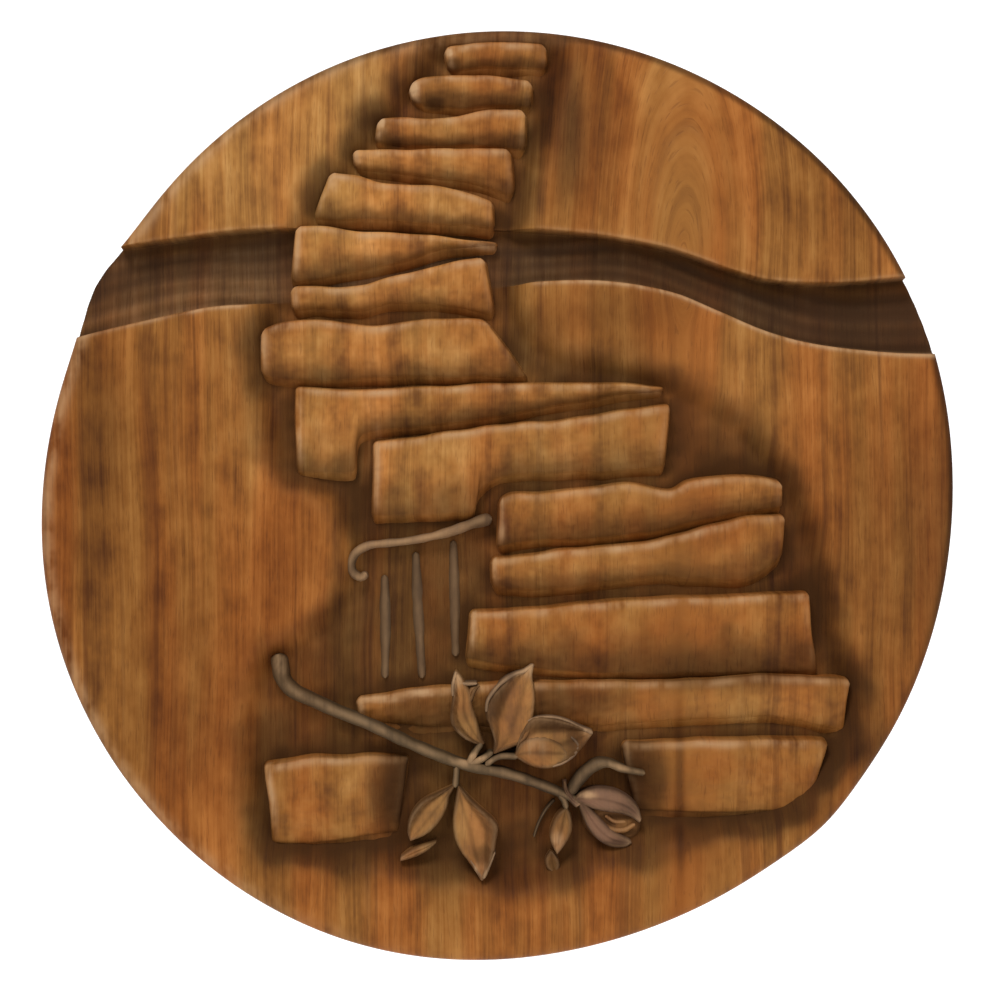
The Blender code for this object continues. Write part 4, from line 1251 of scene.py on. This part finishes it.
# Each blade of the sprig: one edge and the other from base to tip, the depth of its base, middle
# and tip in metres, the cup (raised edges) or dome (lowered edges) in metres, and which edge curls
# up as a rim: -1 the first one, 1 the second one, 0 neither
BLADES = {
    "leaf_low_left": (
        ((-9.5, -62.4), (-13, -64), (-16, -65.5), (-18, -67.5), (-19.2, -70), (-19.5, -72.5),
         (-19, -74.3)),
        ((-9.3, -62.9), (-10.4, -65), (-10.8, -67), (-12, -69.5), (-14, -72), (-16, -73.5),
         (-18.7, -74.6)),
        (0.0012, 0.0008, 0.0030), -0.0014, -1,
    ),
    "leaf_low_left_curl": (
        ((-13.2, -74.4), (-15, -74.9), (-17, -75.5), (-19, -76.4), (-20.9, -77.8)),
        ((-13.4, -75.3), (-15, -76.6), (-16.8, -77.6), (-19, -78.4), (-21, -78.9)),
        (0.0040, 0.0020, 0.0016), -0.0010, 0,
    ),
    "leaf_low_right": (
        ((-8.6, -62.5), (-9, -65), (-9.5, -68.5), (-9.6, -71), (-9.2, -74), (-8, -76.6), (-6.4, -78.8),
         (-4.8, -81), (-3.7, -82.8)),
        ((-8.2, -62.5), (-6, -65), (-3.6, -67.3), (-1, -69.6), (0.2, -71.5), (-0.2, -74.5),
         (-0.6, -77), (-1.6, -80), (-3.1, -83)),
        (0.0012, 0.0006, 0.0012), -0.0013, 1,
    ),
    "leaf_high_left": (
        ((-3.3, -53.6), (-5.4, -53.2), (-7.6, -52), (-9.5, -50), (-10.2, -47.6), (-9.8, -44),
         (-9.4, -40.6), (-9.2, -37.7)),
        ((-2.7, -53.2), (-3.6, -51.2), (-4.4, -48.2), (-5.4, -45), (-5.6, -42.6), (-6.6, -40.6),
         (-8.8, -37.6)),
        (0.0012, 0.0006, 0.0010), -0.0012, -1,
    ),
    "leaf_high_left_lobe": (
        ((-6.6, -44), (-6.4, -42), (-5.6, -41), (-4, -40.5)),
        ((-5.4, -44.4), (-4.9, -43), (-4.5, -42), (-3.8, -41)),
        (0.0016, 0.0014, 0.0022), -0.0006, 0,
    ),
    "leaf_high_right": (
        ((-1, -55.4), (-0.7, -53), (-1.5, -50), (-2.6, -46.6), (-1.5, -43.4), (0.5, -41), (3, -38.8),
         (5.5, -37.5), (7.7, -36)),
        ((-0.4, -55.6), (2.6, -54.4), (5.6, -53), (7.2, -50.6), (7.8, -47.5), (8.2, -44), (8, -41),
         (7.6, -38.6), (8, -36.3)),
        (0.0012, 0.0004, 0.0006), -0.0013, -1,
    ),
    "leaf_right": (
        ((3.9, -56), (4.4, -52.6), (5.8, -49.6), (8, -47.6), (12, -47.8), (15, -48.5), (17.6, -49.5),
         (20.5, -50.8)),
        ((4.1, -56.3), (8, -57.2), (12, -57.9), (14.6, -57.2), (16.6, -56), (18.4, -54.3),
         (20.7, -51.2)),
        (0.0020, 0.0018, 0.0018), 0.0006, -1,
    ),
    "leaf_right_fold": (
        ((3.8, -55.4), (5.2, -53.0), (7.8, -51.9), (10.8, -51.9), (13.4, -53), (15.2, -55)),
        ((4.2, -56.6), (7, -58.1), (10, -58.8), (13, -58.3), (15.4, -56.4)),
        (0.0014, 0.0004, 0.0014), -0.0014, 0,
    ),
    "leaf_under_bud": (
        ((14.9, -67), (13, -68.6), (11.8, -71), (11.4, -73), (11.8, -75.2), (12.8, -77.2)),
        ((15.2, -67), (16, -69), (16.3, -71.4), (15.8, -73.4), (14.6, -75.4), (13.2, -77.3)),
        (0.0020, 0.0010, 0.0020), -0.0012, 0,
    ),
    "leaf_under_bud_lobe": (
        ((11.4, -76.8), (10.4, -78.6), (10.8, -80.6), (12.4, -81.8)),
        ((12.4, -77.4), (13.4, -78.8), (13.6, -80.4), (12.8, -81.7)),
        (0.0062, 0.0058, 0.0064), 0.0006, 0,
    ),
    "petal_top": (
        ((16.6, -65), (18.6, -63.6), (21.4, -62.8), (25.4, -63.3), (28.6, -65.0), (30.6, -67.2),
         (31.3, -69.6)),
        ((16.8, -65.8), (18.6, -66.8), (21, -67.6), (24, -68.2), (26.8, -68.6), (29, -69.4),
         (30.8, -70.6)),
        (0.0010, 0.0002, 0.0024), -0.0018, 0,
    ),
    "petal_low": (
        ((17.4, -66.2), (18.4, -69), (19.8, -71.9), (21.9, -74.3), (24.6, -75.8), (27.4, -76),
         (29.2, -75.2)),
        ((19, -66.2), (21, -68.1), (23.2, -70.4), (25.2, -72.2), (27, -73.2), (28.2, -73.8),
         (29, -74.4)),
        (0.0014, 0.0008, 0.0034), -0.0016, 0,
    ),
    "calyx": (
        ((14.2, -61.6), (14.4, -63.6), (15.4, -65.6), (17, -67.2)),
        ((15, -61.5), (15.4, -63.3), (16.8, -65), (18.4, -66.2)),
        (0.0016, 0.0006, 0.0016), -0.0008, 0,
    ),
}

# The leaves' rolled edges: points, widths and depth of the top in metres
ROLLED_EDGES = (
    (
        ((-2.4, -46.4), (-2, -43.9), (-0.3, -41.4), (1.6, -39.6), (3.8, -38.3), (5.9, -37.6),
         (7.8, -36.2)),
        (0.0010, 0.0018, 0.0018, 0.0020), 0.0004,
    ),
    (((-9.6, -43), (-9.6, -40.6), (-8.9, -37.8)), (0.0010, 0.0014, 0.0014), 0.0006),
    (((-8.8, -40.0), (-6.8, -40.4), (-4.4, -40.3)), (0.0012, 0.0016, 0.0012), 0.0010),
    (
        ((6.6, -48.4), (8.6, -47.7), (12, -47.6), (15.2, -48.4), (17.6, -49.6), (20.6, -51)),
        (0.0010, 0.0012, 0.0012, 0.0020), 0.0012,
    ),
    (
        ((16, -51.8), (17.5, -53.7), (16.6, -55.7), (14.4, -57.4), (12, -58.3)),
        (0.0010, 0.0016, 0.0010), 0.0014,
    ),
    (((-0.5, -76.8), (-1.7, -79.8), (-3.1, -82.5)), (0.0008, 0.0012, 0.0018), 0.0010),
    (((-5.7, -78.6), (-4.5, -80.6), (-3.2, -82.4)), (0.0008, 0.0012, 0.0018), 0.0012),
)

# The rose's heart: its centre, half its length and width, and the turn of its length. Then the edges
# of its inner petals, each with its width in metres, and the hollows between them
BUD_CENTRE = (24.7, -70.0)
BUD_HALF_SIZE = (6.8, 5.2)
BUD_TURN = math.radians(-25)
INNER_PETALS = (
    (((20.6, -68.2), (22.2, -70.4), (24.6, -71.9), (27.4, -72.2), (29.9, -70.9)), 0.0026),
    (((23.4, -69), (25.4, -70.3), (27.8, -70.4)), 0.0020),
)
BUD_HOLLOWS = (
    (23.4, -70.4, 2.4, 1.4, 0.7), (25.6, -73, 2.8, 0.9, 0.6), (26.4, -69.2, 3.4, 0.8, 0.7),
    (28.6, -72.6, 1.6, 0.8, 0.6),
)

# Soft spots of glaze, and of stain rubbed off, on the sprig: centre, half width, half height,
# strength
SPRIG_SHADES = (
    (11, -54.6, 7, 4, 0.22), (11.5, -63.4, 7, 3, 0.30), (14.2, -71, 3.4, 4, 0.24),
    (-3.6, -5, 4, 2.4, 0.42), (-31.2, -14.5, 2.5, 3, 0.34), (13, -49.6, 6.5, 1.8, 0.44),
    (-3.4, -77.6, 2.6, 2.6, 0.40), (-7.6, -46.5, 2.4, 5, 0.16), (26, -75.2, 3.4, 1.6, 0.40),
    (16.4, -56, 2.4, 2.4, 0.24), (17, -52, 2.4, 3, 0.50), (0.4, -44, 2.2, 5, 0.34),
    (-4, -43.4, 1.6, 2.4, 0.50), (18.4, -60.6, 2.6, 2.6, 0.30), (12.4, -79.4, 3, 3, 0.45),
    (28.5, -67.4, 3.5, 2.4, 0.25),
)
SPRIG_RUBBED = (
    (19.9, -64.4, 2.2, 0.9, 1.0), (-3.6, -81.2, 1.6, 2.4, 1.0), (-8.6, -79, 1.0, 2.0, 0.4),
    (13.0, -74.6, 1.6, 2.4, 0.8), (8, -54, 3, 2.2, 0.45), (19.8, -50.9, 1.6, 1.0, 0.9),
    (-4.5, -57, 4, 1.6, 0.45), (-4.2, -82.4, 1.2, 2.2, 0.6), (26, -58.4, 3.2, 1.0, 0.3),
    (-46.8, -36, 1.6, 2.4, 0.5), (-5.6, -56.6, 3, 1.2, 0.7), (6.4, -37.6, 2, 1.8, 0.6),
    (-8.6, -39.6, 1.2, 2, 0.6),
)


def blade_surface(first, second, depths, cup, curled, sizes):
    """A leaf or petal between two edges.

    The depth is a parabola through those of base, middle and tip, plus the cup times the square of
    the way across, plus a crease along the middle and shallow veins that lean towards the tip. On a
    curled edge a bell-shaped rim stands up, with a trough inside it.
    """
    unit = sizes.radius / 100
    first = np.array(first) * unit
    length = length_of(first)
    cells = max(10, round(length / sizes.fine_step * 1.9))
    along = strip_shares(length, 0.0012, cells)[0]
    a, b = spline(first, along), spline(np.array(second) * unit, along)
    if np.cross(b[len(b) // 2] - a[len(a) // 2], a[-1] - a[0]) < 0:
        a, b, curled = b, a, -curled
    widest = np.linalg.norm(a - b, axis=1).max()
    inner = max(8, round(widest / sizes.fine_step * 1.6))
    rows = strip_shares(np.full(len(a), widest), 0.0010, inner).T
    x = b[:, 0] + (a[:, 0] - b[:, 0]) * rows
    y = b[:, 1] + (a[:, 1] - b[:, 1]) * rows
    across = 2 * rows - 1
    swell = np.sin(math.pi * np.clip(along, 0, 1)) ** 0.6
    base, middle, tip = depths
    depth = base * (1 - along) * (1 - 2 * along) + middle * 4 * along * (1 - along)
    depth = depth + tip * along * (2 * along - 1)
    depth = depth - cup * across**2 * (0.4 + 0.6 * swell)
    crease = bump(across, 0.25 * curled, 0.14)
    depth = depth + 0.0004 * crease * swell
    veins = np.sin((along - 0.35 * np.abs(across)) * math.tau * length / 0.0042)
    depth = depth + 0.00012 * veins * swell * (1 - crease)
    rim = bump(across, -0.82 * curled, 0.16) * abs(curled)
    trough = bump(across, -0.5 * curled, 0.16) * abs(curled)
    depth = depth + (0.0009 * trough - 0.0008 * rim) * swell
    edge = np.minimum(rows, 1 - rows) * np.linalg.norm(a - b, axis=1)
    depth = depth + quarter_oval(edge, 0.0009, 0.0009)
    glaze = 0.22 * crease * swell + 0.38 * trough * swell + 0.05
    glaze = glaze + 0.42 * smoothstep(0.0026, 0, edge)
    glaze = glaze + 0.50 * rim * swell
    glaze = glaze + 0.30 * smoothstep(0.35, 0.0, along) + spots(x, y, SPRIG_SHADES, unit)
    wear = 0.16 * bump(edge, 0.0010, 0.0006) + 0.12 * rim + 0.2 * smoothstep(0.84, 1.0, along)
    wear = wear + spots(x, y, SPRIG_RUBBED, unit)
    return x, y, np.maximum(depth, SKIN), np.clip(glaze, 0, 1), np.clip(wear, 0, 1)


def ridge_surface(points, widths, depths, sizes, shade=0.0):
    """A ridge along a line: half a circle across, its width and top depth changing evenly."""
    unit = sizes.radius / 100
    line = np.array(points) * unit
    length = length_of(line)
    cells = max(8, round(length / sizes.fine_step))
    along = strip_shares(length, 0.0015, cells)[0]
    middle = spline(line, along)
    ahead = np.gradient(middle, axis=0)
    ahead = ahead / np.linalg.norm(ahead, axis=1)[:, None]
    half = np.interp(along, np.linspace(0, 1, len(widths)), widths) / 2
    ends = np.minimum(along, 1 - along) * length
    half = half * np.sqrt(np.clip(1 - (1 - np.clip(ends / half, 0.05, 1)) ** 2, 0, 1))
    half = half * (1 + 0.10 * unevenness(middle[:, 0], middle[:, 1], 0.011, 4))
    turn = np.linspace(0, math.pi, 11)[:, None]
    x = middle[:, 0] + ahead[:, 1] * half * np.cos(turn)
    y = middle[:, 1] - ahead[:, 0] * half * np.cos(turn)
    top = np.interp(along, np.linspace(0, 1, len(depths)), depths)
    depth = top + half * (1 - np.sin(turn))
    depth = depth + 0.00015 * unevenness(x, y, 0.007, 2)
    low, high = (0.1, 0.9) if ahead[len(ahead) // 2, 0] > 0 else (0.9, 0.1)
    up = smoothstep(low, high, turn / math.pi)
    # Worn spots, and a painted highlight along the ridge's upper side, which faces the light
    wear = 0.3 * bump(up, 0.60, 0.35) * (1 - shade) + spots(x, y, SPRIG_RUBBED, unit)
    glaze = 0.30 - 0.14 * np.sin(turn) + shade + spots(x, y, SPRIG_SHADES, unit)
    return x, y, np.maximum(depth, SKIN), np.clip(glaze, 0, 1), np.clip(wear, 0, 1)


def bud_surface(sizes):
    """The rose's heart: half an ellipsoid over a turned oval, sunk in between its inner petals.

    A square's point goes to the unit disc as on the board, then to the turned oval.
    """
    unit = sizes.radius / 100
    a, b = np.meshgrid(np.linspace(-1, 1, 46), np.linspace(-1, 1, 36))
    across, up = to_disc(a, b)
    reach = np.minimum(np.hypot(across, up), 1)
    long_way, short_way = BUD_HALF_SIZE[0] * across, BUD_HALF_SIZE[1] * up
    x = (BUD_CENTRE[0] + long_way * math.cos(BUD_TURN) - short_way * math.sin(BUD_TURN)) * unit
    y = (BUD_CENTRE[1] + long_way * math.sin(BUD_TURN) + short_way * math.cos(BUD_TURN)) * unit
    sunk = np.clip(spots(x, y, BUD_HOLLOWS, unit), 0, 1)
    depth = 0.0030 + 0.0064 * (1 - np.sqrt(1 - 0.98 * reach**2)) + 0.0016 * sunk
    glaze = 0.40 + 0.45 * sunk + 0.30 * smoothstep(0.75, 1.0, reach)
    wear = spots(x, y, SPRIG_RUBBED, unit)
    return x, y, depth, np.clip(glaze, 0, 1), np.clip(wear, 0, 1)


# The widths along the stem, the rail and a rib, as shares of their sizes
STEM_TAPER = np.array([1.55, 1.15, 1.0, 0.95, 0.75])
RAIL_TAPER = np.array([0.9, 1.0, 0.8, 0.9, 1.1, 1.3])
RIB_TAPER = np.array([0.7, 1.2, 1.0, 0.8])
# How far the ribs stand above the hollow's floor, and how far their walls lean out, in metres
RIB_HEIGHT = 0.0013
RIB_FLARE = 0.0006


class PLAQUE_OT_sprig(Operator):
    """Make the rose sprig: stem, stalks, leaves and bud."""

    bl_idname = "plaque.sprig"
    bl_label = "Rose sprig"

    def execute(self, context):
        sizes = context.scene.plaque_sizes
        stem, leaves, edges, bud, heart = Shell(), Shell(), Shell(), Shell(), Shell()

        def ridge(shell, points, widths, depths, shade=0.0):
            shell.relief(ridge_surface(points, widths, depths, sizes, shade), SPRIG_FLARE)

        ridge(stem, STEM, sizes.stem_width * STEM_TAPER, (0.0004, 0.0006, 0.0006, 0.0010))
        ridge(stem, SEPAL, (0.0044, 0.0056, 0.0034, 0.0026), (0.0022, 0.0010, 0.0016))
        ridge(stem, TENDRIL, (0.0014, 0.0010), (0.0066, 0.0080), 0.35)
        for stalk in STALKS:
            ridge(stem, stalk, (0.0030, 0.0026), (0.0012, 0.0012))
        for name, blade in BLADES.items():
            shell = leaves if name.startswith("leaf") else bud
            shell.relief(blade_surface(*blade, sizes), SPRIG_FLARE)
        heart.relief(bud_surface(sizes), SPRIG_FLARE)
        for points, width in INNER_PETALS:
            ridge(heart, points, (0.7 * width, width, 0.8 * width), (0.0026, 0.0026, 0.0036), 0.10)
        for points, widths, top in ROLLED_EDGES:
            ridge(edges, points, widths, (top, top), -0.35)
        for shell, name, wood in (
            (stem, "rose_stem", "stem_wood"),
            (leaves, "rose_leaves", "leaf_wood"),
            (edges, "rose_leaf_edges", "edge_wood"),
            (bud, "rose_bud", "bud_wood"),
            (heart, "rose_heart", "leaf_wood"),
        ):
            shell.finish(name, [wood_for(wood)])
        return {"FINISHED"}


class PLAQUE_OT_rail(Operator):
    """Make the curled rail and the upright ribs below it."""

    bl_idname = "plaque.rail"
    bl_label = "Rail and ribs"

    def execute(self, context):
        sizes = context.scene.plaque_sizes
        shell = Shell()
        widths = sizes.rail_width * RAIL_TAPER
        shell.relief(ridge_surface(RAIL, widths, (0.0040, 0.0034, 0.0032), sizes), SPRIG_FLARE)
        top = sizes.hollow_depth - RIB_HEIGHT
        for rib in RIBS:
            widths = sizes.rib_width * RIB_TAPER
            shell.relief(ridge_surface(rib, widths, (top, top), sizes, 0.34), RIB_FLARE)
        shell.finish("rail_and_ribs", [wood_for("rail_wood")])
        return {"FINISHED"}


# The backdrop, in metres: where its floor starts, half its width, the heights of its floor and top,
# where its wall stands, and the radius of the bend between them. Then how much it glows
STAGE_FRONT = -6.0
STAGE_SIDE = 7.0
STAGE_FLOOR = -1.7
STAGE_TOP = 5.0
STAGE_WALL = 2.6
STAGE_BEND = 1.2
STAGE_GLOW = 0.45
# The lights: name, place, width and share of the key light's power
LIGHTS = (
    ("key_light", (-0.55, -1.5, 1.75), 0.9, 1.0),
    ("fill_light", (1.2, -1.8, 0.1), 1.6, 0.25),
)
# How far left of the plaque's origin and below it the camera stands, in metres
CAMERA_ASIDE = 0.0001


class PLAQUE_OT_stage(Operator):
    """Make the pale backdrop, the lights and the camera."""

    bl_idname = "plaque.stage"
    bl_label = "Stage"

    def execute(self, context):
        scene = context.scene
        look = scene.plaque_stage
        turn = np.linspace(0, math.pi / 2, 24)
        bend_y = STAGE_WALL - STAGE_BEND + STAGE_BEND * np.sin(turn)
        bend_z = STAGE_FLOOR + STAGE_BEND - STAGE_BEND * np.cos(turn)
        profile_y = np.concatenate([[STAGE_FRONT], bend_y, [STAGE_WALL]])
        profile_z = np.concatenate([[STAGE_FLOOR], bend_z, [STAGE_TOP]])
        x = np.tile([-STAGE_SIDE, STAGE_SIDE], len(profile_y))
        points = np.stack([x, np.repeat(profile_y, 2), np.repeat(profile_z, 2)], axis=-1)
        row = np.arange(len(profile_y) - 1) * 2
        faces = np.stack([row, row + 1, row + 3, row + 2], axis=-1)
        mesh = bpy.data.meshes.new("backdrop")
        mesh.from_pydata(points.tolist(), [], faces.tolist())
        mesh.polygons.foreach_set("use_smooth", np.ones(len(faces), bool))
        paper = Recipe("backdrop_paper")
        for name, value in (
            ("Base Color", colour(look.backdrop)),
            ("Roughness", 0.9),
            ("Emission Color", WHITE),
            ("Emission Strength", STAGE_GLOW),
        ):
            paper.feed(paper.shader.inputs[name], value)
        mesh.materials.append(paper.material)
        backdrop = put("backdrop", mesh)

        world = bpy.data.worlds.new("studio_air")
        world.use_nodes = True
        air = world.node_tree.nodes["Background"]
        air.inputs["Color"].default_value = WHITE
        air.inputs["Strength"].default_value = look.sky
        scene.world = world
        scene.view_settings.view_transform = "Standard"

        for name, place, width, share in LIGHTS:
            light = bpy.data.lights.new(name, "AREA")
            light.shape = "DISK"
            light.size = width
            light.energy = look.key_power * share
            lamp = put(name, light)
            lamp.location = place
            lamp.rotation_euler = (-lamp.location).to_track_quat("-Z", "Y").to_euler()

        view = bpy.data.cameras.new("camera")
        view.sensor_fit = "HORIZONTAL"
        view.lens = view.sensor_width * look.camera_distance / look.view_width
        view.clip_start = 0.05
        camera = put("camera", view)
        camera.location = (-CAMERA_ASIDE, FACE - look.camera_distance, -CAMERA_ASIDE)
        camera.rotation_euler = (math.pi / 2, 0, 0)
        scene.camera = camera
        return {"FINISHED"}


class PLAQUE_PT_panel(Panel):
    """The operators, the sizes and the colours, in the sidebar."""

    bl_idname = "PLAQUE_PT_panel"
    bl_label = "Carved Wall Plaque"
    bl_space_type = "VIEW_3D"
    bl_region_type = "UI"
    bl_category = "Plaque"

    def draw(self, context):
        column = self.layout.column(align=True)
        for operator in OPERATORS:
            column.operator(operator.bl_idname)
        for group in ("plaque_sizes", "plaque_finish", "plaque_stage"):
            settings = getattr(context.scene, group)
            box = self.layout.box()
            for key in settings.__annotations__:
                box.prop(settings, key)


GROUPS = (PlaqueSizes, PlaqueFinish, StageLook)
OPERATORS = (
    PLAQUE_OT_board, PLAQUE_OT_planks, PLAQUE_OT_sprig, PLAQUE_OT_rail, PLAQUE_OT_stage,
)


def register():
    for item in (*GROUPS, *OPERATORS, PLAQUE_PT_panel):
        bpy.utils.register_class(item)
    bpy.types.Scene.plaque_sizes = PointerProperty(type=PlaqueSizes)
    bpy.types.Scene.plaque_finish = PointerProperty(type=PlaqueFinish)
    bpy.types.Scene.plaque_stage = PointerProperty(type=StageLook)


def unregister():
    del bpy.types.Scene.plaque_stage
    del bpy.types.Scene.plaque_finish
    del bpy.types.Scene.plaque_sizes
    for item in reversed((*GROUPS, *OPERATORS, PLAQUE_PT_panel)):
        bpy.utils.unregister_class(item)


def main():
    register()
    bpy.ops.plaque.board()
    bpy.ops.plaque.planks()
    bpy.ops.plaque.sprig()
    bpy.ops.plaque.rail()
    bpy.ops.plaque.stage()


if __name__ == "__main__":
    main()
